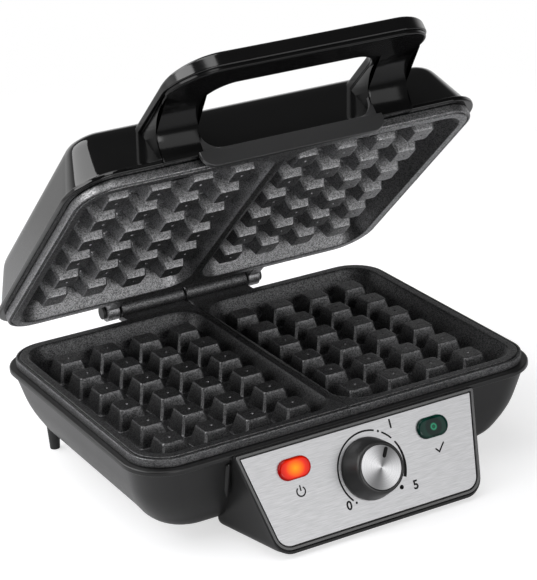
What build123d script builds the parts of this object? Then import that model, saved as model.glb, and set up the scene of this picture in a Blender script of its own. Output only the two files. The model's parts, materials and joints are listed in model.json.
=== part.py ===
"""Two-slice waffle maker: a tub with a control box, a swinging lid with a loop handle, two cast plates.

Millimetres, +X to the user's right, +Y to the hinge at the back, +Z up.
The origin is on the table under the middle of the whole stance, with the lid part open.
"""
from build123d import *
from math import atan, cos, degrees, radians, sin, tan
import os

os.makedirs("parts", exist_ok=True)

# Stance and hinge
part_height = 62.0  # parting plane between the plates, above the table
plate_shift = 8.6  # middle of the plates, behind the middle of the stance
hinge_setback = 13.4  # hinge axis behind the back edge of the plates
hinge_rise = 2.0  # hinge axis above the parting plane
lid_rest_angle = 42.7  # how far the lid stands open as drawn, in degrees
plate_gap = 0.4  # left between the two rims when the lid is shut

# Fits
running_clearance = 0.05  # radial, shaft or pin in its bore
seat_clearance = 0.15  # all round, a piece dropped into its recess
swing_clearance = 0.6  # between neighbours that move past each other

# Cast plates
peg_pitch = 26.0
peg_columns = 4
peg_rows = 6
peg_top = 13.0
peg_foot = 19.5
peg_drop = 2.1  # peg tops below the rim
well_depth = 14.0
well_lean = 8.6  # how far a well's outer wall leans in from mouth to floor
well_corner = 10.0
mouth_corner = 16.0
divider_foot = 15.2
divider_top = 6.0
divider_drop = 1.5
rim_width = 7.0
rim_height = 5.5
rim_corner = 22.0
plate_floor = 3.5
plate_skirt = 2.0  # wall left outside a well's mouth

# Hinge barrel
knuckle_radius = 6.0
knuckle_gap = 1.0
inner_knuckle = 44.0  # length of each inner knuckle
outer_knuckle = 8.5
pin_radius = 2.5
pin_head_radius = 4.0
pin_head_length = 1.6

# Plastic shells
flange_overhang = 4.0  # flanges beyond the plate rims
flange_thickness = 3.2
flange_lip = 2.5  # flanges beyond the walls under them
flange_corner = 26.0
shell_wall = 2.4
wall_lean = 22.0  # degrees from upright
wall_corner = 23.0  # in plan, at the far end of a leaning wall
tub_depth = 40.0  # below the base flange
belly_depth = 22.0  # below the base flange, where the tub's wall starts to turn in
belly_lean = 14.5  # degrees from upright, above the belly
belly_round = 40.0
tub_round = 12.0
base_back_reach = 0.6  # base flange behind the lid's, under the hinge
lid_rise = 31.0  # lid top above its flange
lid_round = 11.0
body_clearance = 1.0  # plate bodies in the flanges' openings

# Control box
panel_tilt = 25.6  # degrees from upright
panel_top_setback = 3.6  # fascia's top edge in front of the base flange
panel_top_drop = 2.6  # fascia's top edge below the flange's top
fascia_height = 52.0
fascia_top_width = 148.8
fascia_foot_width = 127.2
fascia_corner = 8.0
fascia_thickness = 1.0
bezel_width = 3.0
bezel_rise = 0.6  # bezel proud of the fascia
box_corner = 10.0
box_run = 28.0  # box back behind the flange's front edge
box_flare = 0.152  # half-width gained per length, going back
box_ground = 2.0  # box floor above the table

# Dial and lenses
dial_drop = 24.5  # shaft below the fascia's top edge
knob_radius = 18.0
knob_top_radius = 13.8
knob_height = 14.0
knob_wall = 2.2
knob_edge = 1.0
cap_radius = 12.4
cap_thickness = 1.2
pointer_length = 6.0
pointer_width = 1.6
pointer_rest = 31.0  # degrees clockwise from the top
hub_radius = 6.0
shaft_radius = 3.0
bushing_radius = 5.0
bushing_reach = 3.4  # bushing in front of the fascia
nut_size = 14.0
nut_thickness = 2.4
lens_inset = 29.4  # lens's middle from the fascia's top corner, along the top edge
lens_lift = 12.2  # lens centres above the dial
lens_length = 20.0
lens_width = 12.0
lens_rise = 2.2
lens_round = 1.6
lens_flange = 1.4
lamp_radius = 3.0
lamp_length = 13.0

# Thermostat
stat_width = 34.0
stat_height = 26.0
stat_depth = 16.0

# Heating
heater_radius = 3.25
heater_span_x = 164.0
heater_span_y = 112.0
heater_bend = 18.0
heater_tails = 24.0  # distance between the two cold ends
heater_tail_reach = 82.0
reflector_width = 184.0
reflector_depth = 146.0
reflector_corner = 14.0
reflector_gauge = 0.6
reflector_play = 0.3  # under the heater

# Fasteners, feet and wiring
boss_span_x = 196.0
boss_span_y = 116.0
boss_radius = 5.0
screw_radius = 2.0
screw_head_radius = 3.6
screw_head_height = 2.6
screw_grip = 2.6  # thread in a casting's floor
screw_bite = 5.0  # thread in a casting's edge
screw_length = 14.0  # plate screws, under the head
lid_screw_span = 180.0
lid_boss_web = 2.4  # left under the head of a lid screw
handle_screw_span = 134.0
handle_screw_level = 24.5
handle_screw_length = 15.0
cover_screw_radius = 1.5
cover_screw_head = 2.8
cover_screw_head_height = 1.6
cover_width = 150.0
cover_depth = 104.0
cover_corner = 10.0
cover_thickness = 2.0
cover_overlap = 7.0
vent_pitch = 14.0
vent_count = 5
vent_length = 70.0
vent_width = 4.0
foot_span_x = 216.0
foot_back = 74.0  # rear feet behind the plates' middle
foot_radius = 4.6
foot_tip_radius = 3.0
pad_span_x = 104.0
pad_setback = 14.0  # pads behind the box's front foot
pad_radius = 7.0
gland_offset = 62.0
gland_drop = 27.0  # below the base flange
gland_radius = 6.0
gland_collar_radius = 9.0
gland_collar = 2.5
gland_bore_radius = 3.75
gland_boss_radius = 10.5
gland_boss_length = 14.0
gland_stand = 1.5  # boss face proud of the wall at its top
block_length = 34.0
block_width = 16.0
block_height = 12.0
fuse_radius = 2.5
fuse_length = 18.0

# Handle, in the shut lid's place
handle_width = 161.0
handle_reach = 60.5  # grip front in front of the lid flange
handle_top = 36.0  # above the parting plane
grip_front = 8.5  # upper half's height at the grip's front
grip_back = 4.6  # upper half's height at the legs
grip_depth = 27.0
handle_skin = 2.4  # lower half under the upper
handle_inset = 1.2  # lower half behind the upper's edge
handle_corner = 26.0
handle_opening = 108.0
opening_corner = 12.0
gusset_radius = 22.0
tab_width = 116.0
tab_drop = 2.5  # below the parting plane
tab_top = 7.5
tab_thickness = 2.6
tab_corner = 7.0

# Worked-out plate sizes
well_width = peg_columns * peg_pitch
well_length = peg_rows * peg_pitch
well_centre = divider_foot / 2 + well_width / 2
mouth_width = well_width + well_lean + (divider_foot - divider_top) / 2
mouth_length = well_length + 2 * well_lean
mouth_centre = divider_top / 2 + mouth_width / 2
plate_width = divider_foot + 2 * (well_width + well_lean + rim_width)
plate_depth = mouth_length + 2 * rim_width
body_width = plate_width - 2 * (rim_width - plate_skirt)
body_depth = plate_depth - 2 * (rim_width - plate_skirt)
body_corner = rim_corner
plate_body = well_depth + plate_floor
peg_height = well_depth - peg_drop
peg_taper = degrees(atan((peg_foot - peg_top) / 2 / peg_height))

# Worked-out shell sizes
flange_width = plate_width + 2 * flange_overhang
flange_depth = plate_depth + 2 * flange_overhang
flange_front = -flange_depth / 2
lean_slope = tan(radians(wall_lean))
belly_slope = tan(radians(belly_lean))
base_flange = -rim_height
tub_top = base_flange - flange_thickness
tub_floor = tub_top - tub_depth
lid_seat = plate_gap + rim_height
lid_wall_foot = lid_seat + flange_thickness
lid_top = lid_wall_foot + lid_rise
hinge_y = plate_shift + plate_depth / 2 + hinge_setback
hinge_z = part_height + hinge_rise
hinge_axis = Axis((0, hinge_y, hinge_z), (-1, 0, 0))


def level(height):
    """Horizontal plane at a height above the parting plane, centred on the plates."""
    return Plane((0, plate_shift, part_height + height))


def side_plane(x):
    """Upright plane across X, with its axes along Y and Z from the plates' middle."""
    return Plane((x, plate_shift, part_height), x_dir=(0, 1, 0), z_dir=(1, 0, 0))


def front_plane(y):
    """Upright plane facing the front, with its axes along X and Z from the plates' middle."""
    return Plane((0, plate_shift + y, part_height), x_dir=(1, 0, 0), z_dir=(0, -1, 0))


def lid_wall(height):
    """Half-depth of the lid's outer wall at a height above the parting plane."""
    return flange_depth / 2 - flange_lip - (height - lid_wall_foot) * lean_slope


# Panel plane: its origin is the dial's axis on the fascia's outer face
panel_sin = sin(radians(panel_tilt))
panel_cos = cos(radians(panel_tilt))
panel_y = flange_front - panel_top_setback - dial_drop * panel_sin
panel_z = base_flange - panel_top_drop - dial_drop * panel_cos
panel = Plane(
    (0, plate_shift + panel_y, part_height + panel_z),
    x_dir=(1, 0, 0),
    z_dir=(0, -panel_cos, panel_sin),
)
panel_out = Axis(panel.origin, panel.z_dir)
fascia_slope = (fascia_top_width - fascia_foot_width) / 2 / fascia_height
recess_depth = fascia_thickness + bezel_rise
wall_back = fascia_thickness + shell_wall


def waffle_pan(rim, inward):
    """Cast plate with its rim at a height; inward is -1 for the one that faces up, 1 for the other."""
    with BuildPart() as pan:
        with BuildSketch(level(rim)):
            RectangleRounded(plate_width, plate_depth, rim_corner)
        extrude(amount=inward * rim_height)
        with BuildSketch(level(rim)):
            RectangleRounded(body_width, body_depth, body_corner)
        extrude(amount=inward * plate_body)
        for side in (-1, 1):
            with BuildSketch(level(rim)):
                with Locations((side * mouth_centre, 0)):
                    RectangleRounded(mouth_width, mouth_length, mouth_corner)
            with BuildSketch(level(rim + inward * well_depth)):
                with Locations((side * well_centre, 0)):
                    RectangleRounded(well_width, well_length, well_corner)
            loft(ruled=True, mode=Mode.SUBTRACT)
        with BuildSketch(level(rim)):
            Rectangle(divider_foot, well_length)
        extrude(amount=inward * divider_drop, mode=Mode.SUBTRACT)
    return pan.part


def peg_field(rim, inward):
    """The tapered pegs that stand in both wells of a plate."""
    with BuildPart() as pegs:
        for side in (-1, 1):
            with BuildSketch(level(rim + inward * well_depth)):
                with Locations((side * well_centre, 0)):
                    with GridLocations(peg_pitch, peg_pitch, peg_columns, peg_rows):
                        Rectangle(peg_foot, peg_foot)
            extrude(amount=-inward * peg_height, taper=peg_taper)
    return pegs.part


def knuckle_outline(arm_low, arm_high):
    """Barrel section with the arm that joins it to a plate's back edge, between two heights."""
    with BuildSketch(mode=Mode.PRIVATE) as outline:
        with Locations(axle):
            Circle(knuckle_radius)
        with Locations((plate_depth / 2 - rim_width / 2, arm_low)):
            Rectangle(hinge_setback + rim_width / 2, arm_high - arm_low, align=(Align.MIN, Align.MIN))
        with Locations(axle):
            Circle(pin_radius + running_clearance, mode=Mode.SUBTRACT)
    return outline.sketch


axle = (plate_depth / 2 + hinge_setback, hinge_rise)
inner_start = knuckle_gap / 2
outer_start = inner_start + inner_knuckle + knuckle_gap
barrel_end = outer_start + outer_knuckle

# Lower plate: faces up, carries the inner hinge knuckles
with BuildPart() as lower_plate:
    add(waffle_pan(0, -1))
    for start in (inner_start, -inner_start - inner_knuckle):
        with BuildSketch(side_plane(start)):
            add(knuckle_outline(-rim_height, -plate_gap))
        extrude(amount=inner_knuckle)
    with BuildSketch(level(-plate_body)):
        with GridLocations(boss_span_x, boss_span_y, 2, 2):
            Circle(screw_radius + running_clearance)
    extrude(amount=screw_grip, mode=Mode.SUBTRACT)
    add(peg_field(0, -1))
lower_plate.part.label = "lower_plate"
export_step(lower_plate.part, "parts/lower_plate.step")

# Upper plate, with the lid shut: faces down, carries the outer hinge knuckles
lid_screw_level = lid_wall_foot + screw_head_radius
lid_screw_places = [(side * lid_screw_span / 2, lid_screw_level) for side in (-1, 1)]
with BuildPart() as upper_plate:
    add(waffle_pan(plate_gap, 1))
    for start in (outer_start, -barrel_end):
        with BuildSketch(side_plane(start)):
            add(knuckle_outline(plate_gap, lid_seat))
        extrude(amount=outer_knuckle)
    with BuildSketch(front_plane(body_depth / 2)):
        with Locations(*lid_screw_places):
            Circle(screw_radius + running_clearance)
    extrude(amount=screw_bite, mode=Mode.SUBTRACT)
    add(peg_field(plate_gap, 1))

# Hinge pin: one rod through all the knuckles, with a head at each end
pin_half = barrel_end + knuckle_gap / 2
with BuildPart() as hinge_pin:
    with BuildSketch(side_plane(-pin_half)):
        with Locations(axle):
            Circle(pin_radius)
    extrude(amount=2 * pin_half)
    for way in (-1, 1):
        with BuildSketch(side_plane(way * pin_half)):
            with Locations(axle):
                Circle(pin_head_radius)
        extrude(amount=way * pin_head_length)
hinge_pin.part.label = "hinge_pin"
export_step(hinge_pin.part, "parts/hinge_pin.step")


def cheek_half(up, margin):
    """Half-width of the fascia's trapezium at a height up the panel from the dial, grown by a margin."""
    return fascia_top_width / 2 - (dial_drop - up) * fascia_slope + margin / cos(atan(fascia_slope))


def panel_front(height, offset):
    """Y of the panel plane, moved out by an offset, at a height above the parting plane."""
    out_y = panel_y - offset * panel_cos
    out_z = panel_z + offset * panel_sin
    return out_y + (height - out_z) * panel_sin / panel_cos


def cheek_plane(side, inset):
    """Side face of the control box: it holds the bezel's edge and flares towards the back."""
    top_half = cheek_half(dial_drop, bezel_width - inset)
    top = Vector(top_half, dial_drop * panel_sin, dial_drop * panel_cos)
    edge = Vector(-fascia_slope, -panel_sin, -panel_cos)
    outward = edge.cross(Vector(box_flare, 1, 0))
    place = Vector(0, plate_shift + panel_y, part_height + panel_z) + top
    if side < 0:
        place = Vector(-place.X, place.Y, place.Z)
        outward = Vector(-outward.X, outward.Y, outward.Z)
    return Plane(place, z_dir=outward)


def control_box(inset, front, roof):
    """Control box: walls moved in by an inset, front at an offset from the panel, up to a roof."""
    ground = box_ground - part_height + inset
    back = flange_front + box_run - inset
    half = cheek_half(dial_drop, bezel_width) + box_flare * flange_depth
    top_front = (panel_front(roof, front), roof)
    foot_front = (panel_front(ground, front), ground)
    with BuildPart() as box:
        with BuildSketch(side_plane(-half)):
            with BuildLine():
                Polyline(top_front, foot_front, (back, ground), (back, roof), close=True)
            make_face()
        extrude(amount=2 * half)
        for side in (-1, 1):
            split(bisect_by=cheek_plane(side, inset), keep=Keep.BOTTOM)
        foot_edges = box.faces().sort_by(Axis.Z)[0].edges()
        fillet(foot_edges.filter_by(Axis.X, reverse=True), box_corner - inset)
    return box.part


def tub_solid(inset):
    """Tub under the base flange, with its walls and floor moved in by an inset."""
    width = flange_width - 2 * (flange_lip + inset)
    depth = flange_depth + base_back_reach - 2 * (flange_lip + inset)
    floor_run = 2 * (tub_depth - inset) * lean_slope
    belly_run = 2 * belly_depth * belly_slope
    with BuildPart() as tub:
        with BuildSketch(level(tub_top)):
            with Locations((0, base_back_reach / 2)):
                RectangleRounded(width, depth, flange_corner - flange_lip - inset)
        with BuildSketch(level(tub_top - belly_depth)):
            with Locations((0, base_back_reach / 2)):
                RectangleRounded(width - belly_run, depth - belly_run, flange_corner - flange_lip - inset)
        with BuildSketch(level(tub_floor + inset)):
            with Locations((0, base_back_reach / 2)):
                RectangleRounded(width - floor_run, depth - floor_run, wall_corner - inset)
        loft(ruled=True)
        fillet(tub.edges().filter_by(Plane.XY).group_by(Axis.Z)[1], belly_round)
        fillet(tub.faces().sort_by(Axis.Z)[0].edges(), tub_round - inset)
    return tub.part


def lid_solid(inset):
    """Lid over its flange, with its walls and top moved in by an inset."""
    width = flange_width - 2 * (flange_lip + inset)
    depth = flange_depth - 2 * (flange_lip + inset)
    run = 2 * (lid_rise - inset) * lean_slope
    with BuildPart() as lid:
        with BuildSketch(level(lid_wall_foot)):
            RectangleRounded(width, depth, flange_corner - flange_lip - inset)
        with BuildSketch(level(lid_top - inset)):
            RectangleRounded(width - run, depth - run, wall_corner - inset)
        loft(ruled=True)
        fillet(lid.faces().sort_by(Axis.Z)[-1].edges(), lid_round - inset)
    return lid.part


def plate_opening():
    """Hole in a flange that a plate's body drops through."""
    with BuildSketch(mode=Mode.PRIVATE) as opening:
        RectangleRounded(
            body_width + 2 * body_clearance,
            body_depth + 2 * body_clearance,
            body_corner + body_clearance,
        )
    return opening.sketch


def fascia_face(grow):
    """Fascia's outline on the panel, grown all round; only its foot corners are round."""
    top = dial_drop + grow
    foot = dial_drop - fascia_height - grow
    top_half = cheek_half(top, grow)
    foot_half = cheek_half(foot, grow)
    with BuildSketch(mode=Mode.PRIVATE) as outline:
        with BuildLine():
            Polyline((-top_half, top), (top_half, top), (foot_half, foot), (-foot_half, foot), close=True)
        make_face()
        fillet(outline.vertices().sort_by(Axis.Y)[:2], fascia_corner + grow)
    return outline.sketch


lens_span = fascia_top_width / 2 - lens_inset
lens_places = [(-lens_span, lens_lift), (lens_span, lens_lift)]
boss_seat = -plate_body + screw_grip - screw_length
gland_level = base_flange - gland_drop
gland_top = gland_drop - flange_thickness - gland_boss_radius
gland_face = flange_depth / 2 + base_back_reach - flange_lip - gland_top * belly_slope + gland_stand

# Base housing: tub, flange and control box in one moulding
with BuildPart() as base_housing:
    with BuildSketch(level(base_flange)):
        with Locations((0, base_back_reach / 2)):
            RectangleRounded(flange_width, flange_depth + base_back_reach, flange_corner)
    extrude(amount=-flange_thickness)
    add(tub_solid(0))
    add(control_box(0, bezel_rise, base_flange))
    add(tub_solid(shell_wall), mode=Mode.SUBTRACT)
    add(control_box(shell_wall, -wall_back, tub_top), mode=Mode.SUBTRACT)
    with BuildSketch(level(base_flange)):
        add(plate_opening())
    extrude(amount=-2 * flange_thickness, mode=Mode.SUBTRACT)
    with BuildSketch(panel.offset(bezel_rise)):
        add(fascia_face(seat_clearance))
    extrude(amount=-recess_depth, mode=Mode.SUBTRACT)
    with BuildSketch(panel):
        with Locations(*lens_places):
            SlotOverall(lens_length, lens_width)
        Circle(bushing_radius + seat_clearance)
    extrude(amount=-wall_back - shell_wall, mode=Mode.SUBTRACT)
    with BuildSketch(level(-plate_body)):
        with GridLocations(boss_span_x, boss_span_y, 2, 2):
            Circle(boss_radius)
    extrude(amount=tub_floor + shell_wall / 2 + plate_body)
    with BuildSketch(level(-plate_body)):
        with GridLocations(boss_span_x, boss_span_y, 2, 2):
            Circle(screw_radius + seat_clearance)
    extrude(amount=tub_floor + plate_body, mode=Mode.SUBTRACT)
    with BuildSketch(level(tub_floor)):
        with GridLocations(boss_span_x, boss_span_y, 2, 2):
            Circle(screw_head_radius + seat_clearance)
    extrude(amount=boss_seat - tub_floor, mode=Mode.SUBTRACT)
    with BuildSketch(level(tub_floor)):
        RectangleRounded(cover_width - 2 * cover_overlap, cover_depth - 2 * cover_overlap, cover_corner)
        with GridLocations(cover_width - cover_overlap, cover_depth - cover_overlap, 2, 2):
            Circle(cover_screw_radius + running_clearance)
    extrude(amount=2 * shell_wall, mode=Mode.SUBTRACT)
    with BuildSketch(front_plane(gland_face)):
        with Locations((gland_offset, gland_level)):
            Circle(gland_boss_radius)
    extrude(amount=gland_boss_length)
    with BuildSketch(front_plane(gland_face)):
        with Locations((gland_offset, gland_level)):
            Circle(gland_radius + seat_clearance)
    extrude(amount=gland_boss_length, mode=Mode.SUBTRACT)
base_housing.part.label = "base_housing"
export_step(base_housing.part, "parts/base_housing.step")

# Bottom cover: closes the tub's floor from below
with BuildPart() as bottom_cover:
    with BuildSketch(level(tub_floor)):
        RectangleRounded(cover_width, cover_depth, cover_corner)
        with GridLocations(cover_width - cover_overlap, cover_depth - cover_overlap, 2, 2):
            Circle(cover_screw_radius + seat_clearance, mode=Mode.SUBTRACT)
        with GridLocations(0, vent_pitch, 1, vent_count):
            SlotOverall(vent_length, vent_width, mode=Mode.SUBTRACT)
    extrude(amount=-cover_thickness)
bottom_cover.part.label = "bottom_cover"
export_step(bottom_cover.part, "parts/bottom_cover.step")


def pan_screws(plane, places, radius, head_radius, head_height, length):
    """Group of screws with their heads' undersides on a plane and their shanks along its normal."""
    with BuildPart() as screws:
        with BuildSketch(plane):
            with Locations(*places):
                Circle(radius)
        extrude(amount=length)
        with BuildSketch(plane):
            with Locations(*places):
                Circle(head_radius)
        extrude(amount=-head_height)
    return screws.part


def corners(span_x, span_y):
    """Four places round the middle, a span apart each way."""
    return [(x * span_x / 2, y * span_y / 2) for x in (-1, 1) for y in (-1, 1)]


# Screws that hold the bottom cover
with BuildPart() as bottom_cover_screws:
    add(
        pan_screws(
            level(tub_floor - cover_thickness),
            corners(cover_width - cover_overlap, cover_depth - cover_overlap),
            cover_screw_radius,
            cover_screw_head,
            cover_screw_head_height,
            cover_thickness + shell_wall,
        )
    )
bottom_cover_screws.part.label = "bottom_cover_screws"
export_step(bottom_cover_screws.part, "parts/bottom_cover_screws.step")

# Screws that hold the lower plate down on the tub's bosses
with BuildPart() as lower_plate_screws:
    add(
        pan_screws(
            level(boss_seat),
            corners(boss_span_x, boss_span_y),
            screw_radius,
            screw_head_radius,
            screw_head_height,
            screw_length - running_clearance,
        )
    )
lower_plate_screws.part.label = "lower_plate_screws"
export_step(lower_plate_screws.part, "parts/lower_plate_screws.step")

# Rear feet: tapered, cut to the round of the tub they stand under
for side, name in ((-1, "rear_foot_left"), (1, "rear_foot_right")):
    foot_height = part_height + tub_floor + tub_round
    with BuildPart() as rear_foot:
        with BuildSketch(Plane((side * foot_span_x / 2, plate_shift + foot_back, 0))):
            Circle(foot_tip_radius)
        with BuildSketch(Plane((side * foot_span_x / 2, plate_shift + foot_back, foot_height))):
            Circle(foot_radius)
        loft()
        add(tub_solid(0), mode=Mode.SUBTRACT)
    rear_foot.part.label = name
    export_step(rear_foot.part, f"parts/{name}.step")

# Front pads: under the control box
box_foot_front = panel_front(box_ground - part_height, bezel_rise)
for side, name in ((-1, "front_pad_left"), (1, "front_pad_right")):
    with BuildPart() as front_pad:
        with BuildSketch(Plane((side * pad_span_x / 2, plate_shift + box_foot_front + pad_setback, 0))):
            Circle(pad_radius)
        extrude(amount=box_ground)
    front_pad.part.label = name
    export_step(front_pad.part, f"parts/{name}.step")

# Cord gland: a bush in the tub's back wall, with a collar outside
with BuildPart() as cord_gland:
    with BuildSketch(front_plane(gland_face)):
        with Locations((gland_offset, gland_level)):
            Circle(gland_radius)
    extrude(amount=gland_boss_length)
    with BuildSketch(front_plane(gland_face)):
        with Locations((gland_offset, gland_level)):
            Circle(gland_collar_radius)
    extrude(amount=-gland_collar)
    with BuildSketch(front_plane(gland_face + gland_collar)):
        with Locations((gland_offset, gland_level)):
            Circle(gland_bore_radius)
    extrude(amount=gland_boss_length + gland_collar, mode=Mode.SUBTRACT)
cord_gland.part.label = "cord_gland"
export_step(cord_gland.part, "parts/cord_gland.step")

# Fascia: brushed steel sheet in the bezel's recess
with BuildPart() as control_fascia:
    with BuildSketch(panel):
        add(fascia_face(0))
        with Locations(*lens_places):
            SlotOverall(lens_length, lens_width, mode=Mode.SUBTRACT)
        Circle(bushing_radius + seat_clearance, mode=Mode.SUBTRACT)
    extrude(amount=-fascia_thickness)
control_fascia.part.label = "control_fascia"
export_step(control_fascia.part, "parts/control_fascia.step")

# Lenses: domed pills through the fascia, held by a flange behind the box's front wall
lens_fit_length = lens_length - 2 * seat_clearance
lens_fit_width = lens_width - 2 * seat_clearance
for place, name in zip(lens_places, ("power_lens", "ready_lens")):
    with BuildPart() as lens:
        with BuildSketch(panel.offset(-wall_back)):
            with Locations(place):
                SlotOverall(lens_fit_length, lens_fit_width)
        extrude(amount=wall_back + lens_rise)
        fillet(lens.faces().sort_by(panel_out)[-1].edges(), lens_round)
        with BuildSketch(panel.offset(-wall_back)):
            with Locations(place):
                SlotOverall(lens_length + 2 * lens_flange, lens_width + 2 * lens_flange)
        extrude(amount=-lens_flange)
    lens.part.label = name
    export_step(lens.part, f"parts/{name}.step")

# Lamps: one behind each lens, standing on the lens flange
for place, name in zip(lens_places, ("power_lamp", "ready_lamp")):
    with BuildPart() as lamp:
        with BuildSketch(panel.offset(-wall_back - lens_flange)):
            with Locations(place):
                Circle(lamp_radius)
        extrude(amount=-lamp_length)
        with BuildSketch(panel.offset(-wall_back - lens_flange - lamp_length)):
            with Locations(place):
                Rectangle(2 * lamp_radius, lamp_radius)
        extrude(amount=-lamp_radius)
    lamp.part.label = name
    export_step(lamp.part, f"parts/{name}.step")

# Thermostat: case behind the box's front wall, with a bushing that comes out through the fascia
stat_bore = shaft_radius + running_clearance
with BuildPart() as thermostat_body:
    with BuildSketch(panel.offset(-wall_back)):
        Rectangle(stat_width, stat_height)
    extrude(amount=-stat_depth)
    with BuildSketch(panel.offset(-wall_back)):
        Circle(bushing_radius)
    extrude(amount=wall_back + bushing_reach)
    with BuildSketch(panel.offset(bushing_reach)):
        Circle(stat_bore)
    extrude(amount=-bushing_reach - wall_back - stat_depth / 2, mode=Mode.SUBTRACT)
thermostat_body.part.label = "thermostat_body"
export_step(thermostat_body.part, "parts/thermostat_body.step")

# Nut that clamps the thermostat's bushing to the fascia
with BuildPart() as thermostat_nut:
    with BuildSketch(panel):
        RegularPolygon(nut_size / 2, 6, major_radius=False)
        Circle(bushing_radius + running_clearance, mode=Mode.SUBTRACT)
    extrude(amount=nut_thickness)
thermostat_nut.part.label = "thermostat_nut"
export_step(thermostat_nut.part, "parts/thermostat_nut.step")

# Thermostat shaft: turns in the bushing and carries the knob
shaft_top = knob_height - cap_thickness - knob_wall
with BuildPart() as thermostat_shaft:
    with BuildSketch(panel.offset(-wall_back - stat_depth / 2 + swing_clearance)):
        Circle(shaft_radius)
    extrude(amount=wall_back + stat_depth / 2 - swing_clearance + shaft_top)
thermostat_shaft.part.label = "thermostat_shaft"
export_step(thermostat_shaft.part, "parts/thermostat_shaft.step")


def pointer_mark(length, width):
    """Radial bar near the cap's edge, at the knob's resting angle."""
    turn = radians(90 - pointer_rest)
    middle = cap_radius - knob_wall / 2 - pointer_length / 2
    with BuildSketch(mode=Mode.PRIVATE) as mark:
        with Locations((middle * cos(turn), middle * sin(turn))):
            SlotOverall(length, width, rotation=90 - pointer_rest)
    return mark.sketch


# Knob: hollow flared skirt with a hub, and a bar that shows through the cap
knob_cup = nut_thickness + swing_clearance + bushing_reach
knob_side = (knob_radius - knob_top_radius) / (knob_height - swing_clearance)
with BuildPart() as knob_skirt:
    with BuildSketch(panel.offset(swing_clearance)):
        Circle(knob_radius)
    extrude(amount=knob_height - swing_clearance, taper=degrees(atan(knob_side)))
    fillet(knob_skirt.faces().sort_by(panel_out)[-1].edges(), knob_edge)
    with BuildSketch(panel.offset(swing_clearance)):
        Circle(knob_radius - knob_wall - knob_side * knob_cup)
        Circle(hub_radius, mode=Mode.SUBTRACT)
    extrude(amount=shaft_top - swing_clearance, mode=Mode.SUBTRACT)
    with BuildSketch(panel.offset(swing_clearance)):
        Circle(hub_radius)
    extrude(amount=bushing_reach, mode=Mode.SUBTRACT)
    with BuildSketch(panel.offset(swing_clearance)):
        Circle(shaft_radius + running_clearance)
    extrude(amount=shaft_top - swing_clearance, mode=Mode.SUBTRACT)
    with BuildSketch(panel.offset(knob_height)):
        Circle(cap_radius + running_clearance)
        add(pointer_mark(pointer_length, pointer_width), mode=Mode.SUBTRACT)
    extrude(amount=-cap_thickness, mode=Mode.SUBTRACT)
knob_skirt.part.label = "knob_skirt"
export_step(knob_skirt.part, "parts/knob_skirt.step")

# Knob cap: turned steel disc let into the knob's face
with BuildPart() as knob_cap:
    with BuildSketch(panel.offset(knob_height - cap_thickness)):
        Circle(cap_radius)
        add(
            pointer_mark(pointer_length + 2 * running_clearance, pointer_width + 2 * running_clearance),
            mode=Mode.SUBTRACT,
        )
    extrude(amount=cap_thickness)
knob_cap.part.label = "knob_cap"
export_step(knob_cap.part, "parts/knob_cap.step")


def heater_loop(height):
    """Sheathed heater bent into a loop at a height, with both cold ends at the front."""
    side = heater_span_x / 2
    deep = heater_span_y / 2
    tail = heater_tails / 2
    path = [(-tail, -heater_tail_reach), (-tail, -deep), (-side, -deep), (-side, deep)]
    path = path + [(-x, y) for x, y in reversed(path)]
    with BuildPart() as loop:
        with BuildLine(level(height)) as route:
            FilletPolyline(*path, radius=heater_bend / 2)
        with BuildSketch(Plane(route.line @ 0, z_dir=route.line % 0)):
            Circle(heater_radius)
        sweep()
    return loop.part


def reflector_pan(seat, inward):
    """Folded sheet tray behind a heater: its walls stand on a plate's back, at a seat height."""
    tray = 2 * heater_radius + reflector_play + reflector_gauge
    with BuildPart() as pan:
        with BuildSketch(level(seat)):
            RectangleRounded(reflector_width, reflector_depth, reflector_corner)
        extrude(amount=inward * tray)
        with BuildSketch(level(seat)):
            RectangleRounded(
                reflector_width - 2 * reflector_gauge,
                reflector_depth - 2 * reflector_gauge,
                reflector_corner - reflector_gauge,
            )
        extrude(amount=inward * (tray - reflector_gauge), mode=Mode.SUBTRACT)
        with BuildSketch(level(seat)):
            with Locations((0, -reflector_depth / 2)):
                Rectangle(heater_tails + 4 * heater_radius, 4 * heater_radius)
        extrude(amount=inward * (tray - reflector_gauge), mode=Mode.SUBTRACT)
    return pan.part


# Lower heater and its reflector, under the lower plate
with BuildPart() as lower_heater:
    add(heater_loop(-plate_body - heater_radius))
lower_heater.part.label = "lower_heater"
export_step(lower_heater.part, "parts/lower_heater.step")
with BuildPart() as lower_reflector:
    add(reflector_pan(-plate_body, -1))
lower_reflector.part.label = "lower_reflector"
export_step(lower_reflector.part, "parts/lower_reflector.step")

# Thermal fuse: flat body on the lower reflector's underside
tray_depth = 2 * heater_radius + reflector_play + reflector_gauge
with BuildPart() as thermal_fuse:
    with BuildSketch(level(-plate_body - tray_depth)):
        Rectangle(fuse_length, 2 * fuse_radius)
    extrude(amount=-2 * fuse_radius)
thermal_fuse.part.label = "thermal_fuse"
export_step(thermal_fuse.part, "parts/thermal_fuse.step")

# Terminal block: on the tub's floor, in front of the gland
block_y = boss_span_y / 2 + block_width / 2
with BuildPart() as terminal_block:
    with BuildSketch(level(tub_floor + shell_wall)):
        with Locations((gland_offset - block_length / 2, block_y)):
            Rectangle(block_length, block_width)
    extrude(amount=block_height)
terminal_block.part.label = "terminal_block"
export_step(terminal_block.part, "parts/terminal_block.step")

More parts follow.
